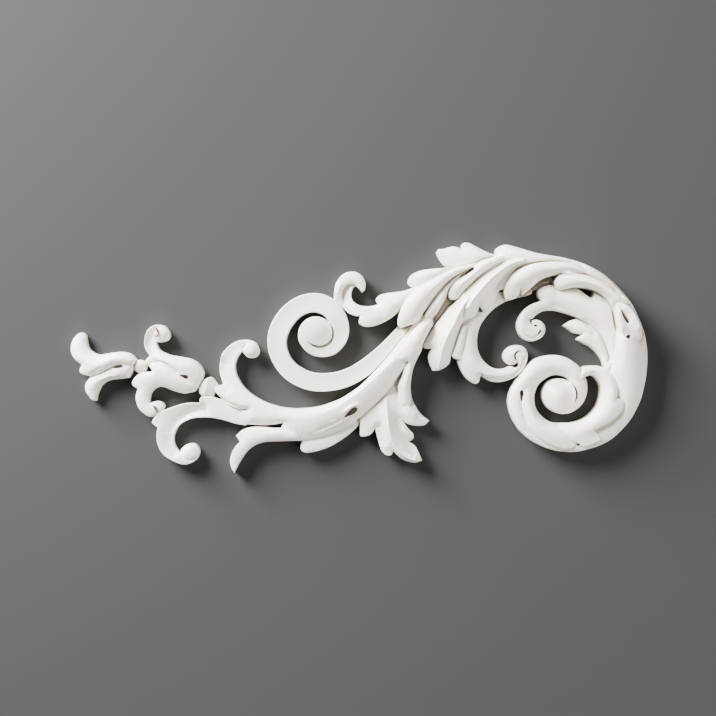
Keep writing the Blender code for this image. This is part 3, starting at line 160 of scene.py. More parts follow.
@dataclass(frozen=True)
class Groove:
    """A soft crease or a raised line along the face of a member.

    Args:
        path: Where it runs, in steps.
        depth: How deep it is cut, in parts; less than nothing raises it.
        width: Half its width, in steps.
        member: The one member that it cuts, or nothing where it cuts them all.
    """

    path: Run
    depth: float
    width: float
    member: str = ""


# The members from the lowest one to the topmost
MEMBERS = [
    Member("stem", [
        [(9, 19.5), (4, 14), (-2, 6), (-10, -4), (-20, -15.5), (-30, -26), (-40, -35.8), (-50, -43),
         (-60, -49), (-70, -53), (-80, -56.3), (-91, -58), (-105, -58.7), (-112, -58.2), (-120, -57),
         (-127, -55), (-133, -53), (-139, -50), (-145, -46.5), (-151, -42), (-157, -36), (-161, -30),
         (-163.5, -25), (-165, -19), (-165, -14), (-163.5, -9), (-161, -4.5)],
        [(-158, -1.5), (-155.3, -4.5), (-152, -7.5), (-148, -8.2), (-144.5, -7.3), (-141.7, -4),
         (-141.2, 0), (-142.5, 4), (-145, 7.5), (-150, 9.8), (-155, 10.2), (-160, 9.8), (-165, 8),
         (-170, 5), (-175, 0), (-178.5, -5), (-180, -11), (-180.7, -18), (-180, -25)],
        [(-177, -34.5), (-180, -35.2), (-183, -36.5), (-185, -39.5), (-184, -42.7), (-178, -49.3),
         (-174, -53), (-169, -56.3), (-163, -58.5)],
        [(-155, -60), (-158.8, -64), (-159.7, -67), (-158.5, -71), (-155, -73.8), (-148, -74.7),
         (-140, -75.2), (-130, -75)],
        [(-117, -73), (-119.6, -79.5), (-119.5, -83), (-116, -87.5), (-110, -90), (-100, -91), (-90, -90),
         (-80, -87.5), (-70, -84), (-60, -80), (-50, -74.3), (-40, -67), (-30, -58.5), (-20, -49),
         (-10, -38), (-5, -31), (-1, -25), (3, -20.5)],
        [(8, -17)],
        [(13, -13), (18, -6), (21, -1), (23, 7), (27, 15)],
        [(33, 26), (33, 32), (25, 36)],
        [(15, 30)]
    ], [
        [(28, 27, 13.5, 11, 11), (13, 9, 14.3, 11, 11), (0, -4, 15, 11, 10.5), (-16, -19, 16, 11, 10),
         (-32, -34, 16, 11, 9.5), (-50, -48.5, 15.5, 10.5, 9), (-70, -59.5, 14.8, 10, 8.5),
         (-91, -66, 13.8, 9.5, 8.5), (-112, -67, 12.8, 9, 8.5), (-135, -65, 11.5, 8.5, 8.5),
         (-151, -65, 10.5, 8, 8)],
        [(-120, -63, 12, 8.5, 8.5), (-140, -55, 11, 8.5, 8.5), (-156, -45, 9.5, 8.5, 8.5),
         (-167, -33, 8.3, 8, 8), (-172.5, -20, 7.2, 8, 8), (-172, -8, 7.2, 8, 8), (-166, 1, 7.5, 8, 8),
         (-156, 5, 8, 8, 8), (-149, 1, 9, 8, 8)],
        [(-181, -40, 9.6, 8.5, 8.8), (-171, -47.5, 10.7, 8.5, 9.3), (-156, -55.5, 11.7, 8.5, 9.8)]
    ]),
    Member("flower_one", [
        [(-319, 17.5), (-315.5, 15.5), (-314.6, 11), (-313.6, 5), (-311, 0.5), (-308, -2), (-304, -4),
         (-300, -4.7), (-290, -3), (-280, -1.9), (-275, -2.3), (-270, -4), (-267, -6.5)],
        [(-264.5, -9.5)],
        [(-266.3, -14), (-271, -15.7), (-277, -15), (-283, -14.9), (-287, -15.8), (-291, -18.4),
         (-296, -21.7), (-301, -24.2), (-306, -26), (-311, -26.2), (-316, -25), (-320.5, -22.7),
         (-321, -19.5)],
        [(-319, -15), (-325, -10.5), (-329, -5), (-330.2, 0), (-330, 5), (-328, 10.5), (-325, 14.5),
         (-322, 16.7)]
    ], [
        [(-319, 13, 6.6, 5.5, 5.5), (-322, 3, 8, 5.5, 6), (-318, -9, 9.5, 5.5, 6.5),
         (-308, -15, 10.5, 6, 8.3), (-297, -13.5, 11.3, 6.5, 9), (-287, -9, 12, 6.5, 9.5),
         (-277, -9, 12.2, 6.5, 9.8), (-269, -10.5, 11, 6.5, 9.5)]
    ]),
    Member("lower_petal", [
        [(-268, -11), (-267, -16), (-268.3, -22)],
        [(-271.5, -28), (-280, -29), (-290, -30.2), (-295, -32), (-299, -35), (-302, -40), (-304, -45)],
        [(-305, -51), (-308.5, -50.5), (-312, -47), (-315, -42.5), (-316, -38), (-315.5, -34)],
        [(-311.5, -27.3)],
        [(-309, -22), (-300, -17), (-290, -12), (-280, -8.5)]
    ], [
        [(-306.5, -47, 6.6, 5.5, 5.5), (-309.5, -39, 8, 5.5, 5.5), (-306, -33, 8.8, 5.5, 6),
         (-297, -28.5, 9.3, 6, 6.5), (-287, -24.5, 9.8, 7, 6.5), (-277, -21.5, 10.3, 8, 6.5),
         (-271, -18.5, 10.3, 8, 6.5)]
    ]),
    Member("flower_two", [
        [(-250.5, -5.5), (-253.5, -1.5), (-255.7, 4), (-256, 10), (-255, 15), (-253, 19.5), (-250, 22.7),
         (-246, 24.8), (-242, 25.2), (-238, 24.8), (-234.5, 23), (-232, 20), (-230.7, 16), (-231, 13),
         (-233, 10), (-237, 8.3), (-241, 7.7)],
        [(-245, 8.3), (-242, 2), (-239, -1), (-235, -3), (-230, -5), (-220, -6.7), (-210, -8.8),
         (-206, -10.5), (-203, -12.5), (-200, -15.5), (-198, -19), (-196.7, -23), (-198, -29)],
        [(-203, -39), (-214, -35), (-226, -28), (-236, -21), (-246, -17.3)],
        [(-251.5, -16.8), (-254.5, -13.8), (-255, -11)]
    ], [
        [(-236, 16, 8.6, 7.5, 7.5), (-240, 21, 8, 7.5, 7.5), (-246, 19.5, 7, 7, 8.5),
         (-250.5, 12, 6, 7, 8.5), (-250, 4, 6, 7, 8.5), (-246, -4, 8.5, 7.5, 8), (-237, -9, 11, 8, 9.5),
         (-226, -13, 12.3, 8, 9.5), (-212, -17.5, 12.7, 8, 9.5), (-202, -25, 11, 7.5, 8.5)],
        [(-252, -11.5, 8.5, 7.5, 7.5), (-245, -12.5, 9.5, 8.5, 8.5)]
    ]),
    Member("front_petal", [
        [(-221.3, -24.2), (-215, -28.5), (-208, -31)],
        [(-204.5, -34)],
        [(-204, -40.6), (-207, -42), (-210, -42.7), (-215, -43.5), (-219, -43), (-229, -40), (-234, -37.8),
         (-238, -36.8), (-242, -37), (-246, -39), (-249.5, -43), (-250.8, -48)],
        [(-250.7, -53.5), (-248, -52.3), (-244, -51.3), (-240, -51.7), (-237, -53.5), (-236, -56.5),
         (-237.5, -60), (-244, -65.3), (-247.5, -66.7), (-251, -67), (-255, -65), (-259, -61.7),
         (-262, -58), (-264, -53), (-264.7, -47)],
        [(-262.8, -39), (-267.5, -35.7), (-268.5, -33), (-266.5, -28.5), (-263, -25), (-259, -22.7),
         (-255, -22)],
        [(-249, -22), (-247.7, -20.5)],
        [(-249, -18.8), (-250.3, -16.3), (-248.5, -13.4), (-244, -11.7), (-238.9, -11.9), (-232.2, -15.3),
         (-226, -20.7)]
    ], [
        [(-265, -33, 8.6, 7.5, 7.5), (-257, -29, 9.6, 7.8, 8), (-248, -24.5, 10.8, 9.5, 8.5),
         (-240, -20.5, 12.3, 11.2, 8.5), (-230, -25, 12.8, 12, 8.5), (-219, -31, 12.5, 10.5, 8.5),
         (-209, -36, 11.3, 8, 8)],
        [(-253, -36, 9.5, 7.5, 7.5), (-257.5, -44, 8.8, 7.5, 7.5), (-257.5, -53, 8.5, 7.5, 7.5),
         (-253, -60, 8.6, 7.5, 7.5), (-245, -60.5, 8.8, 7.5, 7.5)]
    ]),
    Member("collar", [
        [(-201, -37), (-199, -33), (-196, -29.5), (-193, -28)],
        [(-189.5, -27), (-187, -29)],
        [(-182, -36)],
        [(-187, -46), (-193, -47)],
        [(-199, -46), (-201.5, -42)]
    ], [
        [(-192, -28, 10, 7.5, 7.5), (-197, -46, 9, 7, 7)]
    ], RIDGE),
    Member("low_leaf", [
        [(-178, -49.5), (-183, -48.5), (-188, -46.6), (-193, -46), (-197, -46.3), (-199.5, -47.5),
         (-200.7, -50)],
        [(-200.3, -53), (-205, -53), (-212, -53), (-219, -54.3), (-226, -56.5), (-233, -59), (-239, -61.5),
         (-244, -65), (-247, -69)],
        [(-248.8, -73), (-246, -75.5)],
        [(-242.5, -78), (-243.5, -82), (-243.7, -87), (-243, -93), (-240.5, -100), (-236, -106),
         (-230, -110), (-224, -113), (-217, -115), (-211, -114), (-206, -111.5), (-202.5, -107.5),
         (-201, -102), (-202, -97.5), (-205, -94.5), (-210, -93.8), (-214, -95), (-218.5, -98.5)],
        [(-220.3, -103), (-223, -100), (-225.5, -96), (-227, -90), (-226.5, -85), (-224, -79), (-221, -75),
         (-216, -71.5), (-210, -69), (-204, -67.8), (-197, -67.5), (-190, -67.8), (-178, -70),
         (-166, -73.5)],
        [(-155, -75.5), (-150, -70)],
        [(-150, -58), (-172, -46)]
    ], [
        [(-152, -66, 8.5, 8, 8), (-170, -63, 8, 7, 8), (-190, -58, 8, 8, 8), (-207, -61, 7.6, 8.5, 8),
         (-222, -65, 7.3, 8.5, 8), (-232, -73, 7.2, 8.5, 8), (-235.5, -84, 7.2, 8.5, 8),
         (-233, -96, 7.4, 8.5, 8), (-225, -105, 8, 8, 8), (-214, -106, 9, 8, 8)],
        [(-246, -71, 7.5, 7.5, 7.5), (-239, -69, 7.4, 8, 8)]
    ]),
    Member("tail_leaf", [
        [(-112, -78), (-119.5, -78), (-125, -78), (-132, -77.5), (-140, -77), (-147, -77.1), (-153, -78.3),
         (-159, -81)],
        [(-164, -86)],
        [(-160, -92), (-163, -94.7), (-166, -99), (-169, -105), (-170, -111), (-169, -117)],
        [(-166, -123), (-162, -115), (-158, -108.3), (-154, -102.7), (-149, -98), (-143, -94.5),
         (-137, -92.5), (-131, -91.7), (-120, -91.3)],
        [(-102, -90.8), (-98, -84), (-104, -78)]
    ], [
        [(-104, -84, 12, 9.5, 10), (-120, -84, 11.6, 9.5, 9.5), (-138, -85, 11, 9.3, 9.3),
         (-152, -89, 10.5, 9.2, 9.2), (-161, -98, 10, 9, 9), (-165.5, -109, 9.6, 8.7, 8.7),
         (-166.3, -119, 9, 8.5, 8.5)],
        [(-162, -86, 9, 8.7, 8.7), (-154, -85, 9.8, 9, 9)]
    ]),
    Member("ledge_leaf", [
        [(-96, -88), (-98.7, -93), (-99.5, -98.5), (-98, -101.5), (-94, -103), (-88, -102.4),
         (-80, -100.5), (-70, -96.8), (-60, -91), (-50, -83.7)],
        [(-41, -75.3), (-30, -62)],
        [(-35, -58), (-60, -75), (-96, -86)]
    ], [
        [(-93, -96, 9, 8, 8), (-75, -91, 8.7, 8, 7.8), (-57, -82, 8.5, 8, 7.5), (-40, -68, 8, 7.5, 7.5)]
    ]),
    Member("forked_leaf", [
        [(-40, -60)],
        [(-40, -85.5), (-38, -86.7), (-31, -85.5), (-27.5, -82.5)],
        [(-25, -77.8), (-22.5, -88), (-20.5, -95), (-18.5, -100.5), (-15.5, -104.3), (-12.5, -105.8),
         (-9, -105.2)],
        [(-6.5, -101.5), (1, -108.5), (6, -111), (13, -112.7), (18, -112)],
        [(22.3, -110.4), (18, -101), (15.5, -96.5)],
        [(8.7, -91.5), (12, -90), (13.8, -87), (13, -83.5), (9, -79.5)],
        [(3, -71), (6, -73), (11, -75), (18, -75.9), (25, -75)],
        [(29.2, -70.7), (24, -66.8), (19, -61.5), (15.5, -56), (12.5, -50), (11, -42)],
        [(10.5, -32), (4, -20), (-4, -22), (-16, -40), (-30, -52)]
    ], [
        [(-8, -30, 8, 7, 7), (-12, -50, 10.5, 8, 8), (-12.5, -64, 12.7, 8.7, 8.7), (-10, -76, 13.5, 9, 9),
         (-5, -87, 13, 9, 9), (2, -96, 12, 9, 9), (12, -105, 10.3, 8.7, 8.7), (20, -109.5, 9, 8.5, 8.5)],
        [(3, -52, 10, 8.5, 8.5), (8, -60, 11.3, 8.7, 8.7), (14, -65, 11.3, 8.7, 8.7),
         (27, -70.8, 9, 8.5, 8.5)],
        [(-34, -82, 9.8, 9, 9), (-24, -70, 11, 9, 9)],
        [(-13, -101, 9.7, 8.7, 8.7), (-12, -92, 11.3, 9, 9)],
        [(10, -86, 10, 8.7, 8.7), (3, -81, 11.7, 9, 9)]
    ], RIDGE, CRISP),
    Member("volute", [
        [(12, 24), (5, 16), (-2, 7), (-10, -3), (-20, -14), (-30, -24), (-40, -31), (-50, -36),
         (-60, -39.3), (-70, -41), (-80, -41.5), (-90, -40.5), (-100, -37.5), (-108, -33.5), (-115, -28.5),
         (-122, -21), (-127, -13), (-130.7, -4), (-132.3, 5), (-132.3, 13), (-130, 23), (-126, 31.5),
         (-120, 40), (-112, 47.5), (-101, 54), (-88, 56.8), (-78, 56), (-69, 52.3), (-60.5, 45.5),
         (-54.5, 36.5), (-51.5, 27), (-51, 18.5), (-53.5, 9), (-59, 1), (-67, -5), (-77, -7), (-86, -5.8),
         (-93, -2), (-98.3, 4), (-101.3, 10), (-101.8, 16), (-100.5, 22), (-97, 27.5), (-92, 31.5),
         (-86, 33.4), (-80, 33), (-75, 30.9)],
        [(-71.3, 28.3), (-74.5, 33), (-79, 36), (-84, 37.6), (-89, 37.8), (-95, 36), (-101, 32),
         (-106, 26.5), (-110.5, 19.5), (-113.2, 12.5), (-113.8, 5.5), (-112, -2), (-108.3, -9),
         (-103, -14.5), (-96, -19), (-89, -22), (-80, -23.3), (-70, -23), (-60, -21), (-50, -17),
         (-40, -11), (-30, -3.5), (-20, 5), (-11, 14)],
        [(-3, 22.5), (2, 28)]
    ], [
        [(3, 20, 8.7, 8.7, 8.7), (-12, 4, 8.8, 9, 9), (-28, -13, 9, 9.3, 9.3), (-45, -24.5, 9, 9.4, 9.4),
         (-62, -30.5, 9, 9.4, 9.4), (-80, -32.5, 9, 9.4, 9.4), (-97, -28.5, 9, 9.4, 9.4),
         (-111, -20, 9, 9.4, 9.4), (-120, -8, 9, 9.4, 9.4), (-123, 6, 9, 9.4, 9.4),
         (-120.5, 20, 9, 9.4, 9.4), (-113, 33, 9, 9.4, 9.4), (-102, 43, 9, 9.4, 9.4),
         (-88, 47.5, 9.3, 9.5, 9.3), (-75, 44.5, 9.8, 9.5, 9.6), (-64, 35, 10, 9.5, 10),
         (-58.5, 22, 9, 9, 8.5), (-61, 8, 7.5, 8.6, 5.5), (-70, -1, 7, 8.6, 5), (-82, -2.5, 8, 8.8, 6.5),
         (-92, 3, 9, 9.2, 9), (-96, 12, 10, 9.6, 10), (-94, 22, 10.3, 9.6, 10.3), (-84, 20, 10.5, 10, 10)]
    ], FLAT),
    Member("hook_leaf", [
        [(-66, 49), (-65.9, 57), (-65, 64), (-62.5, 69.5), (-59, 74), (-54, 77.3), (-48, 78.4),
         (-43, 77.6), (-38.5, 74.7), (-35.3, 70), (-34.3, 65), (-35.3, 60.5)],
        [(-38, 57.8), (-42.5, 63), (-45, 64), (-47.5, 61), (-48.7, 56), (-48, 51), (-45.5, 47.5),
         (-41, 44.8), (-36, 43.8), (-30, 43.7)],
        [(-21.5, 45.6), (-24.2, 50), (-22.5, 53), (-19, 55.3), (-13, 56.7), (-5, 57.7), (3, 58.8)],
        [(14, 62.5), (10, 64.7), (8, 67.5), (8.5, 71), (11, 74.5), (16, 77.5), (23, 79.7), (33, 81),
         (42, 81.6)],
        [(51.5, 83.5), (62, 88), (75, 90), (80, 86)],
        [(60, 77), (50, 69.5), (45, 65), (40, 59.5), (35, 52.7), (30, 46)],
        [(22.5, 36), (21.3, 33), (19.5, 30), (15, 27), (9, 25)],
        [(0.5, 22), (-1.5, 24.5), (-2, 30)],
        [(0, 39.5), (-8, 32.8), (-15, 28.5), (-22, 25.5), (-28, 23.8), (-34, 23.3), (-38.5, 24.7),
         (-41, 27)],
        [(-39.7, 35), (-42, 33.9), (-47, 35), (-52, 37.5), (-60, 45)]
    ], [
        [(-39, 63, 8.5, 8, 8.5), (-43, 71, 8.3, 8, 8.5), (-50, 71, 8, 8, 8.5), (-56, 65, 7.4, 8, 8),
         (-57, 56, 7, 8, 8), (-54, 48, 7.2, 8, 8.5), (-47, 41, 8.5, 9.5, 9.5), (-36, 38, 10.3, 10, 10),
         (-22, 39, 12, 10.3, 10), (-8, 44, 13.3, 10.5, 10.5), (4, 51, 13.8, 11, 11),
         (16, 60, 14, 11.5, 11.5), (36, 70, 14, 12, 12), (55, 79, 14, 12, 13), (70, 86, 14.5, 12, 14)],
        [(-19, 51, 11, 10, 10), (-8, 52, 12.5, 10.5, 10.5), (4, 55, 13.3, 11, 11)],
        [(13, 70, 12.5, 11.5, 11.5), (25, 74, 14.3, 12, 12), (40, 78, 15, 12.5, 12.5)],
        [(-35, 29, 10.8, 9.5, 9.5), (-24, 31, 11.8, 10, 10), (-10, 37, 12.8, 10.5, 10.5)]
    ]),
    Member("hook_rim", [
        [(-66, 49), (-65.9, 57), (-65, 64), (-62.5, 69.5), (-59, 74), (-54, 77.3), (-48, 78.4),
         (-43, 77.6), (-38.5, 74.7), (-35.3, 70), (-34.3, 65), (-35.3, 60.5)],
        [(-38, 57.8), (-41.5, 62), (-45, 65), (-50, 66), (-54, 64.3), (-57.3, 60), (-58.3, 55),
         (-57.3, 50)],
        [(-55.5, 46.5), (-60, 44.5)]
    ], [
        [(-38.5, 61, 9.3, 8.7, 8.7), (-40, 69, 10.3, 9, 9), (-47, 72.5, 10.5, 9.2, 9),
         (-55, 70, 10.3, 9.2, 9), (-60.5, 63, 10, 9, 8.8), (-62, 55, 9.3, 8.5, 8.5),
         (-60, 48, 7.8, 7.2, 7.5)]
    ]),
    Member("long_leaf", [
        [(0.2, 39.6), (2, 44), (6, 50.5), (12.5, 58), (22, 65), (33, 71), (43, 76.5), (55, 81.5),
         (65, 83.5)],
        [(73, 83), (66, 79.8), (57.5, 75.3), (50.6, 70.5), (44, 64.2), (37.2, 56.2), (29, 45.3)],
        [(22.6, 36), (21.4, 33), (19.6, 29.8), (15, 26.8), (9, 24.8)],
        [(0.4, 21.8), (-1.7, 24.5), (-2.2, 30)]
    ], [
        [(4, 27, 14.3, 13, 12.5), (9, 37, 16.5, 13.7, 12.5), (18, 48.5, 17.6, 14.6, 12.5),
         (30, 60, 18, 15.4, 12.5), (44, 70.5, 18, 16, 13), (58, 78, 17.6, 16, 14), (70, 82, 16.8, 16, 15)]
    ]),
    Member("big_stem", [
        [(51.5, 83.5), (47, 84.3), (44, 85.7), (40.5, 90), (37.8, 95), (36.7, 98)],
        [(38.5, 100.8), (43, 100.9), (48, 102.3), (53, 103.3), (58, 102.3)],
        [(61.5, 100.8), (63, 102), (61.3, 104), (62.5, 106.3), (66, 107.2), (70, 106.3), (75, 103.8),
         (85, 98.5), (90, 96.5)],
        [(97.3, 95), (95.5, 99), (96.5, 101.5), (100, 103.7), (104, 104.8), (109, 104.5), (115, 103),
         (130, 98.5), (140, 96), (150, 94.3), (160, 92.8), (168, 91), (177, 88.5), (186, 85), (195, 80.5),
         (203, 75.5), (211, 69), (220, 60), (228, 50.5), (235, 39.5), (240, 29), (243, 20), (245.3, 10),
         (246.7, 0), (247, -10), (246.5, -20), (245.3, -30), (243, -40), (240, -50), (236, -59),
         (230, -69.5), (222, -79), (211, -89), (200, -95), (188, -99), (176, -101.6), (165, -101.7),
         (152, -99.7), (140, -95.5), (129.5, -89.5), (119, -79.5), (111.5, -66), (108.3, -53),
         (109.5, -42), (113.5, -33.5), (120, -25), (127, -16), (134, -9.5), (142, -6.5), (152, -5),
         (161, -6), (169, -9), (175.5, -13.5)],
        [(181.5, -18.5), (185, -25), (187, -33), (187, -42), (185, -49), (182, -54), (177, -59),
         (170, -62.8), (163, -63.8), (156, -62.7), (150, -59.5), (145.5, -55), (142.6, -48), (142.6, -41),
         (145, -35), (149, -31), (154, -29), (159, -28.4), (164, -29.2)],
        [(169.5, -31.5), (167, -28.3), (162, -26), (156, -25), (150, -26.2), (144.5, -29.3),
         (139.5, -33.5), (136.2, -39), (134.7, -45), (134.7, -52), (136, -58), (139, -63), (143.5, -67.7),
         (149, -71.3), (155, -73), (162, -73.2), (169, -73), (178, -73), (187, -69.5), (193.5, -64.5),
         (198.5, -58), (201.7, -51), (203, -43), (203.5, -34), (205, -18), (211, -5), (214, 10), (214, 28),
         (210, 44), (203, 53), (190, 61), (172, 69), (155, 79), (135, 76)],
        [(115, 66), (100, 60), (85, 62), (65, 76)]
    ], [
        [(43, 96, 11.3, 10, 10), (53, 94, 12.8, 10.3, 11.5), (64, 93, 13.8, 10.5, 12.5),
         (78, 94, 14.6, 10.8, 13), (95, 93, 15, 11, 13.5), (115, 95, 15.3, 11, 14),
         (135, 92.5, 15.7, 11, 14.5), (155, 90, 16.2, 11, 15), (175, 85, 17.2, 11, 15.5),
         (190, 78, 18.2, 11, 16), (204, 66, 19.2, 11.5, 16.5), (215, 50, 20, 11.5, 17),
         (222, 30, 20.4, 11.5, 16.5), (223, 8, 20.4, 11.5, 16.5), (224, -10, 20, 11.5, 15),
         (226, -30, 18.7, 11.5, 10), (226, -46, 17.4, 11.3, 8), (221, -60, 15.8, 11, 8),
         (210, -74, 14.3, 11, 8), (197, -85, 13.4, 10.8, 9), (182, -91.5, 13.2, 10.8, 10),
         (165, -93.5, 13.1, 10.6, 9.5), (150, -90.5, 13, 10.5, 9.5), (136, -83, 13, 10.5, 9.5),
         (124, -71, 13, 10.5, 9.5), (116.8, -58, 13.2, 10.5, 9.5), (116, -46, 13.4, 10.3, 9),
         (120, -36, 13.6, 10.2, 9), (130, -24, 13.6, 10, 9), (142, -16, 13.6, 10, 9),
         (155, -14.5, 13.5, 10, 9), (168, -18.5, 13.3, 10, 9), (176, -27, 13.1, 9.7, 10),
         (179.5, -38, 12.9, 9.3, 10), (178, -49, 12.6, 9.2, 10), (171, -57, 12.6, 9.2, 11),
         (161, -56, 13.5, 9.7, 12.5), (158, -46, 15, 10, 10)],
        [(66, 103, 11.8, 10.8, 10.8), (76, 98, 13.6, 11, 12)],
        [(101, 100.5, 12.7, 11.5, 11.5), (113, 98, 14.8, 11.3, 13)]
    ]),
    Member("web", [
        [(27, 27), (36, 23), (43, 31), (53, 44), (64, 56), (52, 61), (36, 46), (27, 35)]
    ], [
        [(38, 36, 8, 8, 8), (52, 51, 8, 8, 8)]
    ]),
    Member("recess", [
        [(120, 57), (130, 59), (137, 60.5), (146, 63.5), (162, 66), (170, 74), (158, 79), (140, 75),
         (124, 67)]
    ], [
        [(134, 60, 3.5, 3.5, 3.5), (154, 71, 3.5, 3.5, 3.5)]
    ]),
    Member("side_finger", [
        [(24, 34.5), (24.7, 32), (27, 30), (29.5, 29.3), (32, 30.7), (37, 37), (40, 41.5), (46, 52),
         (50, 62), (54, 67)],
        [(66, 77.5), (60, 77), (50, 69.5), (40, 60), (32, 49)]
    ], [
        [(28, 33, 13.3, 12, 11.5), (37, 46, 14.7, 12, 11), (46, 60, 15.3, 12, 11), (58, 73, 15.5, 13, 12)]
    ]),
    Member("upper_finger", [
        [(48, 57), (48.5, 53), (50.5, 50.7), (54, 50)],
        [(58, 51.3), (65, 59.5), (70, 64.5), (75, 69.3), (80, 73.5), (88, 80), (95, 84.7), (103, 88.7)],
        [(112, 91.5), (104, 93.6), (96, 93.3), (88, 91.2), (80, 88.3)],
        [(73, 82), (65, 75.3), (60, 72), (55, 69), (51, 64)]
    ], [
        [(52.5, 55.5, 14.7, 13, 12.5), (58, 63.5, 16.7, 13.8, 12.5), (67, 71, 17.8, 14.5, 12.5),
         (80, 81, 18.2, 15, 12.5), (96, 89, 17.8, 15.8, 14)]
    ]),
    Member("ridged_leaf", [
        [(62, 60), (55, 47.8), (50, 43.3), (45, 37.5), (40, 31), (35, 24.5), (30, 17.5), (26, 12),
         (23.7, 8), (23.3, 5), (24.5, 2)],
        [(32, 1), (29.7, -2), (28.2, -7), (29.3, -13)],
        [(32.5, -20.6), (36, -20.9), (41, -19.5), (46, -16.5), (49.3, -13)],
        [(50.7, -6.5), (54.5, 2), (57, 9), (61.5, 22)],
        [(66, 40), (75, 55)]
    ], [
        [(68, 52, 17, 12, 12), (59, 38, 18, 12, 12), (53, 25, 17.8, 11.5, 11.5), (46.5, 13, 17, 11.5, 11),
         (42, 1, 15.8, 11, 10.5), (40, -10, 14, 11, 10.5), (38, -20, 11.5, 10.3, 10.3)]
    ], RIDGE, CRISP),
    Member("broad_leaf", [
        [(54, 45), (53.8, 41), (55, 37)],
        [(60.5, 28.2), (64, 29), (68, 30.3), (72, 31.8), (75.5, 35)],
        [(78, 40), (86, 37.8), (90, 41), (95, 51), (98, 57), (104, 67), (110, 75), (117, 81), (125, 85)],
        [(135, 87.5), (128, 92), (116, 92.5), (105, 89.3), (95, 84.5), (85, 78.7), (77, 73), (70, 66.5),
         (63, 58.5)]
    ], [
        [(61, 29.5, 12.3, 11.5, 11.5), (63.8, 35.5, 14.8, 12, 11), (67, 42, 17, 12.2, 10.5),
         (71.5, 49.5, 18.3, 12.3, 10), (77.2, 57, 19, 12.3, 9.5), (84, 65, 19.5, 12.5, 9.5),
         (92, 73, 19.6, 12.7, 10), (101, 80, 19.2, 13, 11), (111, 86, 18.3, 14, 12),
         (122, 89, 17.2, 15, 13)]
    ], RIDGE, CRISP),
    Member("small_finger", [
        [(63, 25.5), (60, 20), (57.5, 12.5), (55.5, 5), (53.8, 0)],
        [(52, -5), (53, -7.5), (56, -9.3)],
        [(61.3, -9.7), (62.7, -2), (64.3, 8)],
        [(67, 24)]
    ], [
        [(64, 20, 14.3, 12, 12.5), (60.5, 5, 14, 12, 12.3), (57.3, -6, 12.5, 11.3, 11.3)]
    ]),
    Member("inner_stem", [
        [(60, 28), (62, 20), (61, 8), (59.3, -2)],
        [(58.3, -8)],
        [(57.5, -11.5), (59, -15.5), (61, -20), (63.5, -24.5), (67, -29), (71, -32), (75, -34),
         (78.5, -32.5)],
        [(81, -24.7), (83.5, -27.5), (88, -30.3), (94, -32), (101, -32), (108, -30.3), (114, -27.7),
         (120, -23.3), (124.5, -17.5), (127.5, -10.5), (128, -5), (126.5, 0), (122.5, 3.8), (117, 5),
         (112, 4.3), (107, 1.5), (104.2, -2.3), (103.3, -6.5), (104.8, -11), (108.3, -14), (112.5, -15)],
        [(118.8, -12), (119, -15), (117, -17.5)],
        [(110.5, -16), (106, -18), (101, -19), (95, -18.5), (90, -16.3), (85, -12.3), (81.5, -8), (79, -3),
         (77.5, 2), (77, 8), (77.3, 13), (78.5, 19), (81, 25.5), (85, 31.5), (90, 37.5), (95, 42),
         (100, 45.5), (110, 50), (120, 52.8), (127, 54.3)],
        [(132, 56.3), (133, 61), (120, 62), (100, 58), (85, 52), (72, 42)]
    ], [
        [(129, 58, 6.5, 6.5, 7), (118, 55.5, 7, 7, 7), (100, 51, 8.5, 7.5, 8), (86, 42, 9.5, 8, 9),
         (76, 30, 11, 8, 10), (71, 18, 12.5, 8.5, 10.5), (69.5, 4, 13, 8.8, 10.5), (71, -10, 13, 9, 10),
         (78, -20, 12.5, 9, 9), (90, -24.5, 11.5, 8.5, 8.5), (104, -25, 10.5, 8.5, 8.5),
         (115, -20.5, 10, 8.5, 8), (122, -12, 10, 8.5, 8), (122, -3, 10, 8.5, 8), (115, 0.5, 10, 8.5, 8),
         (108.5, -5, 10, 8.5, 8), (112, -11.5, 9.5, 8, 8)],
        [(73, -30, 10, 8.5, 8.5), (71, -17, 12.3, 10, 9)]
    ]),
    Member("hanging_leaf", [
        [(23, 29), (15, 22), (9, 15), (3, 7), (-1, 0), (-3, -5), (-2, -8.5), (1, -11)],
        [(8, -12.3), (4, -18), (2, -26), (-1.8, -35), (-1.8, -44), (-0.4, -52.4), (3.8, -57), (8.7, -56.7),
         (10.8, -51), (10.5, -40), (11, -30), (13, -19), (17, -9), (21, -1), (23, 7), (27, 15)],
        [(33, 26), (33, 33)]
    ], [
        [(26, 25, 16.8, 14, 14), (16, 10, 17.5, 14, 15.5), (11, -5, 17, 11.5, 15.7),
         (9.5, -19, 14.5, 11, 11), (5.5, -35, 13.3, 10.5, 10.5), (4.5, -50, 12.5, 10.3, 10.3)],
        [(2, -6, 16.8, 15.5, 16), (9, 4, 17.4, 15, 15.7)]
    ]),
    Member("toothed_leaf", [
        [(179, 31.7), (175, 30.6), (170, 29), (166.5, 26.7)],
        [(163.7, 24.4), (167, 22.3), (171, 19.3), (174, 17.3), (178, 16.2)],
        [(182.3, 15.7), (181, 14.3), (178.5, 12.5)],
        [(177.3, 10.3), (182, 8), (186, 5.8), (191, 3.3), (196, -1), (199, -4.5), (202.5, -10), (205, -17)],
        [(208, -24), (216, -24), (216, 0), (208, 18), (195, 32), (183, 34)]
    ], [
        [(166, 24.5, 10, 9.3, 9.3), (176, 24, 11.6, 10, 9.5), (187, 18.5, 12.7, 11, 9.7),
         (196.5, 8, 13, 11, 9.7), (204.5, -7, 13, 11, 9.7), (209, -20, 13, 11, 10)],
        [(179, 11.5, 10, 9.5, 9.5), (187, 12, 12, 10, 9.7)]
    ]),
    Member("inner_leaf", [
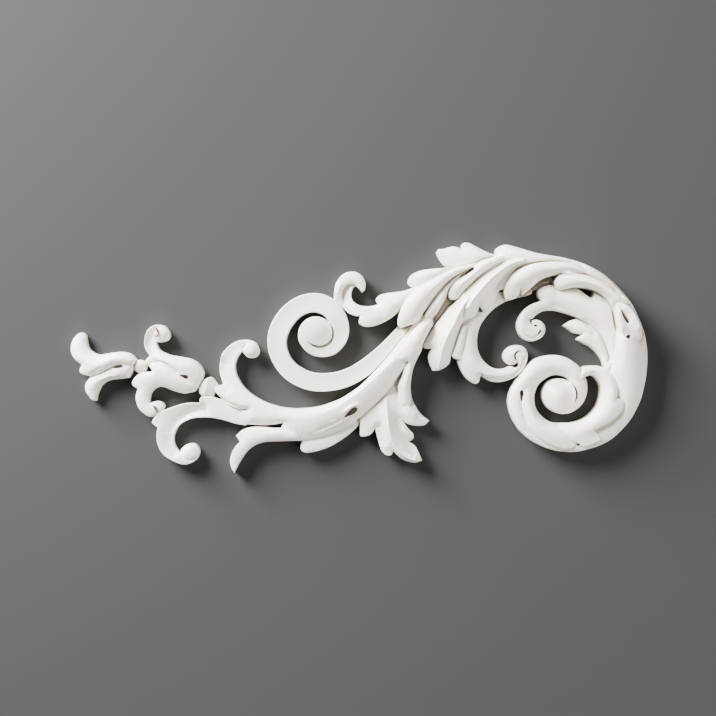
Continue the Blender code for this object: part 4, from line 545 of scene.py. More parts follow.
        [(141.7, 49.3), (139.3, 52), (137.8, 56), (138.8, 60), (142.5, 62.8), (148, 64.5)],
        [(153.5, 65.3), (165, 67)],
        [(177, 62), (180, 59.7), (185, 55.7), (189.5, 52.8), (192, 52.5)],
        [(194, 57.3), (198, 60), (206, 54), (216, 42), (219, 25), (221, 5), (218, -15), (213, -27)],
        [(210.5, -22), (210, -14), (208, -4), (205, 5), (201, 14), (196, 20.5), (191, 25)],
        [(179, 31.7), (175, 33.7), (170, 35.6), (163, 37.8), (156, 39.3), (150, 39.7), (143, 38.8),
         (138, 36.3), (134, 33)],
        [(131.3, 29.3), (134, 30.2), (138, 30), (142, 28), (144.8, 24), (145, 18.5), (142, 13), (137, 10),
         (131, 8.8), (125, 10.5), (121, 14), (118.3, 18.5), (117, 24), (118, 30), (121, 36), (125, 41),
         (130, 44.7), (135, 47)]
    ], [
        [(213, -14, 15.5, 14, 13.5), (211.5, 5, 15.8, 14, 13), (206, 22, 15.8, 13.8, 12),
         (196, 36, 15.6, 13.4, 11), (183, 46, 15.2, 12.6, 10.5), (168, 51, 14.4, 11, 10.5),
         (152, 51, 13, 9.8, 10.8), (138, 44, 11.8, 8.7, 11.2), (128, 40, 11.5, 8.7, 11.2),
         (122, 31, 12.3, 9, 10.5), (122, 20, 12.3, 10, 9.5), (129, 13.7, 11.6, 9.7, 9.5),
         (138, 15, 11.3, 9.7, 9.5), (141.5, 21, 11.3, 9.7, 9.5), (138, 26, 11.3, 9.7, 9.5)],
        [(141, 57, 12.5, 11.3, 11.3), (150, 58, 14, 11.5, 11.5)]
    ]),
    Member("top_leaf", [
        [(105.5, 50.3), (104, 54), (103.6, 59), (105, 65), (108.8, 71.5), (114.5, 77.7), (122, 82),
         (130, 85), (140, 87), (152, 87.8), (165, 87.4)],
        [(180, 84), (188, 76), (180, 68), (170, 66)],
        [(159, 75.3), (153, 74.2), (147, 72.7), (141, 70.3), (135.5, 66.3), (130, 61.3)],
        [(122, 54.5), (121.2, 57.5), (119.7, 60), (118.6, 57)],
        [(117.6, 54), (114, 51.5), (110, 49.9)]
    ], [
        [(109, 55, 14.7, 13.3, 12.5), (112.5, 64, 17, 14.3, 13), (120.5, 72.5, 18.8, 15.6, 13),
         (133, 78.5, 19.7, 17, 13), (150, 81, 20, 17.8, 14), (168, 79, 20, 18.3, 15),
         (178, 77, 18.8, 17.6, 15.5), (186, 74, 17, 16.5, 15)]
    ]),
    Member("under_leaf", [
        [(159, 75.5), (156, 72.5), (153.7, 68.5), (154, 64.5), (156.3, 61), (160, 60), (164, 60.6),
         (170, 61.8), (177, 62.3), (184, 61.8), (190, 60.3), (196, 58.2), (202, 55), (208, 51)],
        [(215, 43), (222, 40), (226, 48)],
        [(215, 57), (206, 63), (197, 68.5), (185, 73.7), (172, 76.3), (164, 76.5)]
    ], [
        [(158, 68, 17, 15.5, 14.5), (168, 69, 19.5, 18, 15), (182, 68, 20.7, 19.6, 15.5),
         (198, 62, 21.2, 20.2, 16), (213, 50, 21.4, 20.4, 17.5)]
    ]),
    Member("twin_leaf", [
        [(214.5, 46.5), (213.3, 41), (213.8, 33), (215, 25), (217.3, 18), (220, 14.5)],
        [(223, 13.8)],
        [(226.7, 15.2), (227.5, 11.8), (230, 10.8)],
        [(238, 9.8), (239.8, 17), (238, 26), (234, 35), (228, 42), (221, 45.8)]
    ], [
        [(215.5, 43, 21.4, 20.8, 20.6), (217.2, 33, 21.8, 20.6, 20.6), (220.5, 20, 21, 19.8, 20.2)],
        [(221, 42, 21.5, 20.4, 20.5), (229, 34, 22, 18.8, 20.5), (233, 24, 21.6, 17.2, 20.3),
         (233, 14, 20.2, 16.8, 19.8)]
    ]),
    Member("wrap_leaf", [
        [(181.7, -18.5), (184, -16.6), (190, -15.7), (196, -15.8), (202, -17.5), (207, -20.5),
         (210.5, -25), (213.7, -31), (215.5, -37), (215.6, -42.5)],
        [(214.7, -47.8), (218, -48.5)],
        [(221.3, -48), (222, -52), (220.8, -58), (217.5, -63.5), (212.5, -68.7), (206.5, -73)],
        [(193, -80.3), (196, -82.5), (198.5, -86)],
        [(199.7, -89.5), (193, -93), (183, -96.3)],
        [(176.5, -93), (165, -90), (155, -85), (153, -79), (160, -75)],
        [(170, -72.9), (178, -71), (185, -67.8), (191, -63), (196, -57), (199, -50), (200.3, -43),
         (200.2, -36), (198, -31), (194.5, -27), (190, -25)],
        [(185, -26.3)],
        [(179.7, -28.6), (180.3, -24)]
    ], [
        [(183, -22, 15.2, 14, 13), (192, -20, 16, 14.4, 13), (202, -22.5, 17, 15.2, 13),
         (208, -31, 18, 16.3, 13), (210, -44, 18.8, 17.2, 13), (208.5, -57, 18.5, 17.2, 13),
         (201, -68, 17.3, 16.3, 13), (189, -77, 16, 15.3, 12), (177, -82, 15.4, 14.3, 11.5),
         (166, -81, 14, 13, 11), (156, -80, 12.3, 12, 11)],
        [(192, -88, 14.2, 13.6, 12.7), (181, -88, 14.8, 13.7, 13)]
    ]),
    Member("ring_leaf", [
        [(121.3, -52), (122, -58), (123.3, -64), (126, -71.5), (129.5, -78), (134.5, -84), (140, -89),
         (147, -93.5), (155, -97)],
        [(163, -99), (172, -97), (176, -90), (168, -80)],
        [(148, -73.3), (142, -69), (137.5, -63.8), (134.3, -58), (133, -52)],
        [(133, -45), (130, -38), (124, -38)]
    ], [
        [(127, -42, 13.8, 11, 13), (128.5, -55, 14.8, 11, 14), (133, -67, 15.4, 11, 14.4),
         (142, -77.5, 15.6, 11, 14.5), (154, -84, 15.4, 11, 14.2), (166, -86, 14.4, 11, 13.3),
         (172, -87, 13, 11, 12.5)]
    ])
]

KNOBS = [
    Knob((-260.7, -16.5), 6.6, 9.0, 5.5),
    Knob((-238.8, 16.2), 7.0, 9.6, 7.2),
    Knob((-243.2, -58.6), 6.0, 8.7, 6.7),
    Knob((-149.2, 0.8), 7.4, 10.6, 8.0),
    Knob((-209.4, -102.7), 7.8, 10.4, 8.0)
]

# Outlines of the eyelets, slits and crevices round the two eyes, all sunk to the same floor
POCKETS = [
    [[(-288, -17), (-283, -15.3), (-278.5, -14.8), (-276.7, -16.2), (-279, -17.8), (-284, -18.3)]],
    [[(-221.8, -24), (-217, -24.7), (-212.7, -24.9), (-211.2, -26.6), (-212.7, -28.5), (-217, -27.6)]],
    [[(-55.7, -67), (-53, -63), (-50, -59.5), (-47, -57.2), (-43.7, -57), (-42.3, -59), (-43.5, -61.7),
      (-47, -64.3), (-51.5, -66)]],
    [[(62.5, 73.5), (66, 75), (70, 77.5), (73.3, 80), (73.3, 81.5), (71.5, 81.7), (68, 79.3)]],
    [[(78.3, 38.5), (78.7, 42.3), (79.6, 43.5), (80.6, 42), (82.6, 38)]],
    [[(119.2, -41), (119.7, -47), (121.2, -51.8), (122.5, -47), (123, -41.5), (121.1, -39.8)]],
    [[(133, 24.5), (135, 25.6), (137.2, 24.3), (135, 23.2)]],
    [[(137.3, 16), (138.3, 15.3), (139.7, 16.7), (140.9, 19), (139.7, 20.7), (138.3, 18.3)]],
    [[(129.2, 30.5), (130.2, 26.3), (132.3, 24.7), (131.7, 27.5), (132.4, 31)]],
    [[(120.5, 0), (116.5, -1), (114.3, -3.5), (113.8, -6.5), (114.7, -9.4), (116.8, -10), (115.9, -7.3),
      (116, -4.5), (117.5, -2.3)]],
    [[(176.2, -93.2), (178, -93.2), (179.3, -94.8), (177, -95.8)]],
    [[(-71.3, 28.6), (-68.7, 25), (-66.4, 20), (-66.2, 14), (-68, 8.7), (-72, 4.4), (-77, 2.3), (-82, 2)],
     [(-87.5, 3.8), (-92.8, 8.7), (-87, 5.8), (-79, 4.6), (-73, 7), (-69.3, 11), (-67.9, 17), (-68.7, 23)]],
    [[(169.5, -31), (173, -34.5), (176, -39), (177.3, -44.5), (176.3, -49)],
     [(172.7, -53.7), (174.8, -48), (174.8, -42), (172.8, -36.3)]],
    [[(216.3, 40.5), (219.5, 37.8), (223, 33), (226.2, 27.3), (225, 25.8), (222, 28.7), (219, 34)]],
    [[(222.3, 13.6), (226.8, 15.2), (226.6, 11.3), (224.3, 11.3)]]
]

# Crescent slits inside the curls of the second flower, sunk to that floor too
SLITS = [
    [[(-245.3, 22.8), (-242, 20.8), (-240.2, 17.3), (-241, 14), (-243.8, 12.7)],
     [(-247, 13.8), (-244.3, 15.4), (-243.3, 16.7), (-243.8, 18.6)]],
    [[(-248, -55.2), (-244, -56.6), (-242.2, -60.3)],
     [(-243.4, -65), (-245, -61.2), (-246, -58.7)]]
]

# Creases, channels and raised rims on the faces
CREASES = [
    Groove([(-219, -25), (-227.7, -18), (-234.3, -13.3), (-241.8, -11.7), (-247, -12)], 1.6, 1.1),
    Groove([(-283, -15.5), (-294.3, -20.5), (-302.7, -24.7), (-311, -25.7)], 1.2, 1.0),
    Groove([(12, 40), (20, 36), (28, 33), (36, 30), (44, 27)], 6.0, 5.0, "hanging_leaf"),
    Groove([(-15, -46), (-13, -60), (-12, -70), (-11, -80), (-8, -90), (-2, -100), (8, -108), (20, -111)],
           -2.0, 2.6, "forked_leaf"),
    Groove([(-5, -64), (-3, -74), (2, -84), (9, -93), (18, -102)], 1.7, 3.6, "forked_leaf"),
    Groove([(-22, -72), (-19, -84), (-17, -96)], 1.0, 3.0, "forked_leaf"),
    Groove([(4, -52), (12, -60), (20, -66)], -1.5, 2.0, "forked_leaf"),
    Groove([(160, 80), (172, 77.5), (184.4, 73.3), (195.6, 68.9), (203.3, 65.6), (212.2, 60),
            (217, 55)], 1.5, 2.5),
    Groove([(112, 76), (118.9, 82.2), (126.7, 85.6), (136.7, 87.2), (148.9, 88), (162.2, 87.4),
            (172.2, 85.6), (185, 81)], 1.6, 1.3),
    Groove([(51.7, 83.3), (61.7, 84.2), (72.8, 87), (81.7, 90.3), (89.4, 92.6), (96.7, 94.2)], 1.2, 1.2),
    Groove([(182, 32), (195.6, 23.3), (203.3, 12.2), (208.9, -1.1), (211, -12), (208, -25)], 1.6, 2.0),
    Groove([(165, 91), (177, 86.5), (190, 79.5), (202, 71), (213, 60), (221, 49)], 1.0, 1.5),
    Groove([(216, 41), (217.5, 30), (220.5, 19)], -1.4, 2.0),
    Groove([(220, 42.5), (227, 39.5), (232, 33), (235, 25), (235, 17)], -1.4, 2.2),
    Groove([(219, 39), (222, 33), (225.5, 26)], 2.5, 1.6),
    Groove([(212, 41), (212.8, 31), (215.3, 20), (220, 11)], 1.3, 1.5),
    Groove([(224, 46), (232, 42), (238, 34), (241, 25), (240, 14)], 1.0, 1.5),
    Groove([(150, 47), (163, 41), (176, 34), (188, 24), (196, 12)], 1.4, 3.0),
    Groove([(-57, -67.5), (-66, -73), (-77, -78), (-85, -81)], 0.9, 1.3),
    Groove([(-58, -64), (-52, -58.5), (-45, -54.5), (-40.5, -56), (-41, -62)], -0.8, 1.3),
    Groove([(-157, 1.5), (-155, 4), (-152, 5.2)], 2.0, 1.0),
    Groove([(-215, -108.5), (-211, -110.2), (-206, -108)], 1.6, 0.9),
    Groove([(-182, -45), (-179.2, -47.6), (-173, -51.9), (-166.2, -54.6), (-156.8, -59.2), (-151, -60)],
           2.4, 0.9),
    Groove([(-190, -59), (-205, -62), (-218, -68), (-227, -80), (-228, -94), (-220, -104)], 2.2, 5.5,
           "low_leaf"),
    Groove([(-174, -8), (-179, -20), (-178, -31), (-168, -43)], 1.0, 5.0, "stem"),
    Groove([(75, -29), (88, -29), (102, -29), (114, -24), (122, -15), (125, -4)], 1.2, 1.6, "inner_stem"),
    Groove([(120, 36), (117.5, 26), (122, 16), (131, 12), (140, 16)], 1.2, 1.6, "inner_leaf"),
    Groove([(246, 40), (252, 15), (252, -15), (248, -45)], 2.0, 7.0, "big_stem")]


@dataclass(frozen=True)
class Finish:
    """The coat of the casting.

    Args:
        name: What the real finish is.
        colour: Its sRGB hex colour.
        roughness: Roughness of the surface.
        ior: Index of refraction of the coat.
        grain: Size of the fine grain, in metres.
        grain_depth: Depth of the fine grain, in metres.
        cloud: Size of the faint clouds in the coat, in metres.
        cloud_tone: How far a cloud is darker or lighter, and duller or glossier, as a share.
    """

    name: str
    colour: str
    roughness: float
    ior: float
    grain: float
    grain_depth: float
    cloud: float
    cloud_tone: float


@dataclass(frozen=True)
class Board:
    """The grey board that the onlay lies on.

    Args:
        name: What it is.
        colour: Its sRGB hex colour.
        roughness: Roughness of the surface.
        gloss: Specular level of the surface.
    """

    name: str
    colour: str
    roughness: float
    gloss: float


@dataclass(frozen=True)
class Lamp:
    """A soft square light that faces the onlay.

    Args:
        name: Which light it is.
        place: Where it hangs, in metres.
        size: Its side, in metres.
        power: Its power, in watts.
    """

    name: str
    place: tuple[float, float, float]
    size: float
    power: float


# Brushed primer on a cast: warm white with a soft sheen on the rounds. Brush marks of about 14 mm leave
# the coat a few hundredths thinner or thicker, which shows in its tone and sheen. Its grain of about
# 0.3 mm is finer than a pixel of the picture, so it is drawn at 1.2 mm, 0.015 mm deep
PRIMED_CAST = Finish("primed_white_cast", "#E8E1D6", 0.38, 1.5, 0.0012, 0.000015, 0.014, 0.03)

# Painted board with no sheen to speak of
GREY_BOARD = Board("grey_board", "#373737", 0.9, 0.1)

LAMPS = [Lamp("key", (-0.80, -0.58, 0.72), 0.6, 98.0), Lamp("rim", (-0.98, -0.16, 0.86), 0.5, 66.0),
         Lamp("fill", (0.9, -0.5, -0.6), 0.9, 20.0), Lamp("back", (0.4, 0.9, 0.5), 0.6, 12.0)]


def linear(colour: str) -> tuple[float, float, float, float]:
    """Turns an sRGB hex colour into linear values.

    Args:
        colour: The colour as #RRGGBB.

    Returns:
        Red, green, blue and alpha.
    """
    parts = [int(colour[i:i + 2], 16) / 255.0 for i in (1, 3, 5)]
    red, green, blue = (c / 12.92 if c <= 0.04045 else ((c + 0.055) / 1.055) ** 2.4 for c in parts)
    return red, green, blue, 1.0


def add_node(tree: bpy.types.NodeTree, kind: str, settings: dict, links: dict) -> bpy.types.Node:
    """Adds a node to a material.

    Args:
        tree: The material's node tree.
        kind: The node's type.
        settings: Values of its properties and of its inputs, which go by name or number.
        links: Output sockets for its inputs.

    Returns:
        The node.
    """
    node = tree.nodes.new(kind)
    for key, value in settings.items():
        if isinstance(key, str) and hasattr(node, key):
            setattr(node, key, value)
        else:
            node.inputs[key].default_value = value
    for key, socket in links.items():
        tree.links.new(socket, node.inputs[key])
    return node


def plain_material(name: str, colour: str, roughness: float) -> tuple:
    """Makes a material of one colour and roughness.

    Args:
        name: Its name.
        colour: Its sRGB hex colour.
        roughness: Its roughness.

    Returns:
        The material, its node tree and its shader.
    """
    material = bpy.data.materials.new(name)
    material.use_nodes = True
    shader = material.node_tree.nodes["Principled BSDF"]
    shader.inputs["Base Color"].default_value = linear(colour)
    shader.inputs["Roughness"].default_value = roughness
    return material, material.node_tree, shader


def cast_material(finish: Finish) -> bpy.types.Material:
    """Makes the material of the casting: a coat with faint clouds in its tone and sheen and a fine grain.

    Args:
        finish: The finish to make.

    Returns:
        The material.
    """
    # Its plain colour and roughness stay on the sockets, for a viewer that doesn't read the nodes
    material, tree, shader = plain_material(finish.name, finish.colour, finish.roughness)
    shader.inputs["IOR"].default_value = finish.ior
    place = add_node(tree, "ShaderNodeTexCoord", {}, {})
    grain = add_node(tree, "ShaderNodeTexNoise", {"Scale": 1.0 / finish.grain, "Detail": 3.0,
                                                  "Roughness": 0.6}, {"Vector": place.outputs["Object"]})
    clouds = add_node(tree, "ShaderNodeTexNoise", {"Scale": 1.0 / finish.cloud, "Detail": 2.0},
                      {"Vector": place.outputs["Object"]})
    tone = add_node(tree, "ShaderNodeMapRange", {"From Min": 0.3, "From Max": 0.7,
                                                 "To Min": 1 - finish.cloud_tone,
                                                 "To Max": 1 + finish.cloud_tone},
                    {"Value": clouds.outputs["Fac"]})
    shade = add_node(tree, "ShaderNodeHueSaturation", {"Color": linear(finish.colour)},
                     {"Value": tone.outputs["Result"]})
    sheen = add_node(tree, "ShaderNodeMath", {"operation": "MULTIPLY", 1: finish.roughness},
                     {0: tone.outputs["Result"]})
    bump = add_node(tree, "ShaderNodeBump", {"Strength": 0.5, "Distance": finish.grain_depth},
                    {"Height": grain.outputs["Fac"]})
    for socket, made in (("Base Color", shade.outputs["Color"]), ("Roughness", sheen.outputs["Value"]),
                         ("Normal", bump.outputs["Normal"])):
        tree.links.new(made, shader.inputs[socket])
    return material


def board_material(board: Board) -> bpy.types.Material:
    """Makes the material of the wall, which shows only from its front.

    Args:
        board: The board to make.

    Returns:
        The material.
    """
    material, tree, shader = plain_material(board.name, board.colour, board.roughness)
    shader.inputs["Specular IOR Level"].default_value = board.gloss
    facing = add_node(tree, "ShaderNodeNewGeometry", {}, {})
    clear = add_node(tree, "ShaderNodeBsdfTransparent", {}, {})
    mix = add_node(tree, "ShaderNodeMixShader", {}, {0: facing.outputs["Backfacing"],
                                                     1: shader.outputs[0], 2: clear.outputs[0]})
    tree.links.new(mix.outputs[0], tree.nodes["Material Output"].inputs["Surface"])
    return material


def bend(knots: list, spacing: float) -> np.ndarray:
    """Runs a smooth curve through the knots of one run; any heights they carry change evenly.

    Args:
        knots: The knots, each a place and what it carries.
        spacing: Distance between the samples, in steps.

    Returns:
        The samples.
    """
    rows = np.array(knots, dtype=float)
    if len(rows) == 1:
        return rows
    place = rows[:, :2]
    around = np.vstack([2 * place[0] - place[1], place, 2 * place[-1] - place[-2]])
    out = []
    for i in range(len(rows) - 1):
        a, b, c, d = around[i:i + 4]
        ab, bc, cd = (max(math.sqrt(np.linalg.norm(q - p)), 1e-3) for p, q in ((a, b), (b, c), (c, d)))
        leave = ((b - a) / ab - (c - a) / (ab + bc) + (c - b) / bc) * bc
        arrive = ((c - b) / bc - (d - b) / (bc + cd) + (d - c) / cd) * bc
        count = max(1, math.ceil(np.linalg.norm(c - b) / spacing))
        for k in range(count):
            t = k / count
            if len(rows) > 2:
                at = (b * (2 * t ** 3 - 3 * t * t + 1) + leave * (t ** 3 - 2 * t * t + t)
                      + c * (3 * t * t - 2 * t ** 3) + arrive * (t ** 3 - t * t))
            else:
                at = b + (c - b) * t
            out.append(np.concatenate([at, rows[i, 2:] * (1 - t) + rows[i + 1, 2:] * t]))
    out.append(rows[-1])
    return np.array(out)


def outline_of(runs: list[Run], spacing: float) -> np.ndarray:
    """Joins the runs of an outline into one closed loop.

    Args:
        runs: The runs; one alone is a smooth ring.
        spacing: Distance between the samples, in steps.

    Returns:
        The loop's points.
    """
    loop = []
    for run, following in zip(runs, runs[1:] + runs[:1]):
        run = run + [following[0]]
        if len(runs) == 1:
            around = [run[-2]] + run + [run[1]]
            curve = bend(around, spacing)
            start, end = (math.ceil(math.dist(around[k], around[k + 1]) / spacing) for k in (0, -2))
            loop.extend(curve[start:len(curve) - end - 1])
        else:
            loop.extend(bend(run, spacing)[:-1])
    return np.array(loop)


def circle(centre: tuple[float, float], radius: float, count: int) -> np.ndarray:
    """Draws the outline of a turned knob.

    Args:
        centre: Its centre, in steps.
        radius: Its radius, in steps.
        count: How many points it has.

    Returns:
        The outline's points.
    """
    turns = [math.tau * i / count for i in range(count)]
    return np.array([(centre[0] + radius * math.cos(t), centre[1] + radius * math.sin(t)) for t in turns])


def edge_distances(points: np.ndarray, loop: np.ndarray) -> np.ndarray:
    """Measures how far each point is from an outline.

    Args:
        points: The points, in steps.
        loop: The outline.

    Returns:
        The distances, in steps.
    """
    best = np.full(len(points), 1e9)
    for a, b in zip(loop, np.roll(loop, -1, axis=0)):
        span = b - a
        t = np.clip((points - a) @ span / max(span @ span, 1e-9), 0, 1)
        best = np.minimum(best, np.linalg.norm(points - a - t[:, None] * span, axis=1))
    return best


def inside(points: np.ndarray, loop: np.ndarray) -> np.ndarray:
    """Tells which of the points lie inside the outline."""
    return enclosed(points, loop, np.roll(loop, -1, axis=0))


def enclosed(points: np.ndarray, starts: np.ndarray, ends: np.ndarray) -> np.ndarray:
    """Tells which of the points lie inside the outlines that the given edges make up.

    Args:
        points: The points.
        starts: Where the edges start.
        ends: Where they end.

    Returns:
        True for each point that is inside.
    """
    odd = np.zeros(len(points), dtype=bool)
    for a, b in zip(starts, ends):
        if a[1] == b[1]:
            continue
        crosses = (a[1] > points[:, 1]) != (b[1] > points[:, 1])
        at = (b[0] - a[0]) * (points[:, 1] - a[1]) / (b[1] - a[1]) + a[0]
        odd ^= crosses & (points[:, 0] < at)
    return odd


def carved_heights(points: np.ndarray, gaps: np.ndarray, veins: list[Vein], fall: float) -> np.ndarray:
    """Works out the carved height at each point from the veins and the distance to the edge.

    Args:
        points: The points, in steps.
        gaps: How far each is from the edge, in steps.
        veins: The member's veins.
        fall: The power that the height falls by from vein to edge.

    Returns:
        The heights, in parts.
    """
    rows, ways = [], []
    for vein in veins:
        path = bend(vein, VEIN_SPACING)
        way = np.gradient(path[:, :2], axis=0) if len(path) > 1 else np.array([[1.0, 0.0]])
        rows.append(path)
        ways.append(way / np.maximum(np.linalg.norm(way, axis=1), 1e-9)[:, None])
    path, way = np.vstack(rows), np.vstack(ways)
    out = np.empty(len(points))
    for start in range(0, len(points), HEIGHT_BATCH):
        part = slice(start, start + HEIGHT_BATCH)
        away = points[part, None, :] - path[None, :, :2]
        reach = np.linalg.norm(away, axis=2)
        weight = 1.0 / (reach ** 2 + 0.3) ** 2
        weight /= weight.sum(axis=1, keepdims=True)
        turn = (way[:, 0] * away[:, :, 1] - way[:, 1] * away[:, :, 0]) / np.maximum(reach, 1e-6)
        lean = 0.5 + 0.5 * np.clip((weight * turn).sum(axis=1), -1, 1)
        crest, left, right = (weight @ path[:, k] for k in (2, 3, 4))
        edge = left * lean + right * (1 - lean)
        near = reach.min(axis=1)
        across = near / np.maximum(near + gaps[part], 1e-6)
        out[part] = edge + (crest - edge) * (1 - across ** fall)
    return out


def rows_behind_edge(loop: np.ndarray, depths: list[float]) -> np.ndarray:
    """Draws rows of points that follow an outline.

    Args:
        loop: The outline.
        depths: How far behind it each row runs, in steps; less than nothing is outside it.

    Returns:
        The points of all the rows.
    """
    turn = np.sum(loop[:, 0] * np.roll(loop[:, 1], -1) - np.roll(loop[:, 0], -1) * loop[:, 1])
    come = loop - np.roll(loop, 1, axis=0)
    come /= np.maximum(np.linalg.norm(come, axis=1), 1e-9)[:, None]
    way = come + np.roll(come, -1, axis=0)
    size = np.linalg.norm(way, axis=1)
    open_way = size > 0.2
    way = way[open_way] / size[open_way][:, None]
    lean = np.maximum(0.35, np.sum(come[open_way] * way, axis=1))
    across = np.stack([-way[:, 1], way[:, 0]], axis=1) * (1.0 if turn > 0 else -1.0) / lean[:, None]
    return np.vstack([loop[open_way] + across * depth for depth in depths])


def beside(path: np.ndarray, offset: float) -> np.ndarray:
    """Moves a path sideways.

    Args:
        path: The path.
        offset: How far it moves to its left, in steps.

    Returns:
        The moved path.
    """
    way = np.gradient(path, axis=0)
    way /= np.maximum(np.linalg.norm(way, axis=1), 1e-9)[:, None]
    return path + np.stack([-way[:, 1], way[:, 0]], axis=1) * offset


def settle(groups: list[tuple[np.ndarray, float]]) -> np.ndarray:
    """Keeps the points of each group that leave the given room to those kept before.

    Args:
        groups: The groups, each with the room that its points need.

    Returns:
        The kept points.
    """
    cell = 2.0
    kept: dict[tuple[int, int], list] = {}
    out = []
    for group, room in groups:
        reach = math.ceil(room / cell)
        for x, y in group:
            i, j = int(x // cell), int(y // cell)
            if all((x - a) ** 2 + (y - b) ** 2 >= room * room
                   for di in range(-reach, reach + 1) for dj in range(-reach, reach + 1)
                   for a, b in kept.get((i + di, j + dj), ())):
                kept.setdefault((i, j), []).append((x, y))
                out.append((x, y))
    return np.array(out)


def filled(loop: np.ndarray, inner: np.ndarray) -> tuple[np.ndarray, Faces]:
    """Fills an outline with triangles that use its own points and the given ones inside it.

    Args:
        loop: The outline.
        inner: The points inside it.

    Returns:
        The points, those of the outline first, and the triangles.
    """
    points = [Vector(p) for p in (np.vstack([loop, inner]) if len(inner) else loop)]
    flat, _, faces, _, _, _ = geometry.delaunay_2d_cdt(points, [], [list(range(len(loop)))], 0, 1e-5, False)
    places = np.array([tuple(p) for p in flat])
    middles = np.array([places[face].mean(axis=0) for face in faces])
    return places, [face for face, kept in zip(faces, inside(middles, loop)) if kept]


def soften(flat: np.ndarray, faces: Faces, heights: np.ndarray, reach: np.ndarray) -> np.ndarray:
    """Smooths the heights over a fixed distance, whatever the spacing of the points.

    Args:
        flat: The points of the face, in steps.
        faces: Its triangles.
        heights: The height at each point, in parts.
        reach: How far the smoothing reaches at each point, in steps.

    Returns:
        The smoothed heights.
    """
    corners = np.array([face[:3] for face in faces])
    first, second, third = (flat[corners[:, k]] for k in range(3))
    span, other = second - first, third - first
    area = np.abs(span[:, 0] * other[:, 1] - span[:, 1] * other[:, 0])
    share = np.zeros(len(flat))
    for k in range(3):
        np.add.at(share, corners[:, k], area)
    out = np.empty(len(flat))
    for start in range(0, len(flat), SMOOTH_BATCH):
        part = slice(start, start + SMOOTH_BATCH)
        away = (flat[part, None, 0] - flat[None, :, 0]) ** 2 + (flat[part, None, 1] - flat[None, :, 1]) ** 2
        weight = np.exp(-away / (2 * reach[part, None] ** 2)) * share
        out[part] = weight @ heights / weight.sum(axis=1)
    return out


def to_object(name: str, data: bpy.types.ID) -> bpy.types.Object:
    """Puts a mesh, a light or a camera in the scene as an object.

    Args:
        name: The object's name.
        data: The mesh, light or camera.

    Returns:
        The object.
    """
    piece = bpy.data.objects.new(name, data)
    bpy.context.scene.collection.objects.link(piece)
    return piece


def made_of(name: str, bm: bmesh.types.BMesh) -> bpy.types.Object:
    """Puts a mesh that is ready in the scene.

    Args:
        name: The object's name.
        bm: The mesh, which is used up.

    Returns:
        The object.
    """
    mesh = bpy.data.meshes.new(name)
    bm.to_mesh(mesh)
    bm.free()
    return to_object(name, mesh)


def close_solid(name: str, flat: np.ndarray, faces: Faces, heights: np.ndarray,
                bottom: float) -> bpy.types.Object:
    """Closes a carved face with straight walls and a bottom.

    Args:
        name: The object's name.
        flat: The face's points, in steps.
        faces: Its triangles.
        heights: Its heights, in metres.
        bottom: Where the bottom lies along Y, in metres.

    Returns:
        The closed solid.
    """
    bm = bmesh.new()
    top = [bm.verts.new((p[0] * STEP, -h, p[1] * STEP)) for p, h in zip(flat, heights)]
    for face in faces:
        bm.faces.new([top[i] for i in face])
    walls = [e for e in bm.edges if e.is_boundary]
    made = bmesh.ops.extrude_edge_only(bm, edges=walls)["geom"]
    for v in made:
        if isinstance(v, bmesh.types.BMVert):
            v.co.y = bottom
    rim = [e for e in made if isinstance(e, bmesh.types.BMEdge) and e.is_boundary]
    bmesh.ops.triangle_fill(bm, edges=rim, use_beauty=True)
    bmesh.ops.delete(bm, geom=[v for v in bm.verts if not v.link_faces], context="VERTS")
    bmesh.ops.recalc_face_normals(bm, faces=bm.faces)
    return made_of(name, bm)


def ease(mesh: bpy.types.Mesh, rounds: int) -> None:
    """Eases the face where members run into one another at a shallow angle.

    Args:
        mesh: The casting's mesh.
        rounds: How often it is eased.
    """
    bm = bmesh.new()
    bm.from_mesh(mesh)
    gentle = [v for v in bm.verts if v.link_faces and all(f.normal.y < -EASE_FORWARD for f in v.link_faces)
              and all(len(e.link_faces) == 2 and e.calc_face_angle() < EASE_ANGLE for e in v.link_edges)]
    for _ in range(rounds):
        bmesh.ops.smooth_vert(bm, verts=gentle, factor=0.5, use_axis_x=False, use_axis_y=True,
                              use_axis_z=False)
    bm.to_mesh(mesh)
    bm.free()


def combine(body: bpy.types.Object, tool: bpy.types.Object, operation: str) -> None:
    """Joins a member to the body, or cuts a tool out of it.

    Args:
        body: The casting so far.
        tool: The member or cutter, which is used up.
        operation: UNION or DIFFERENCE.
    """
    modifier = body.modifiers.new(operation.lower(), "BOOLEAN")
    modifier.operation = operation
    modifier.object = tool
    modifier.solver = "MANIFOLD"
    depsgraph = bpy.context.evaluated_depsgraph_get()
    mesh = bpy.data.meshes.new_from_object(body.evaluated_get(depsgraph))
    body.modifiers.clear()
    body.data = mesh
    bpy.data.objects.remove(tool)


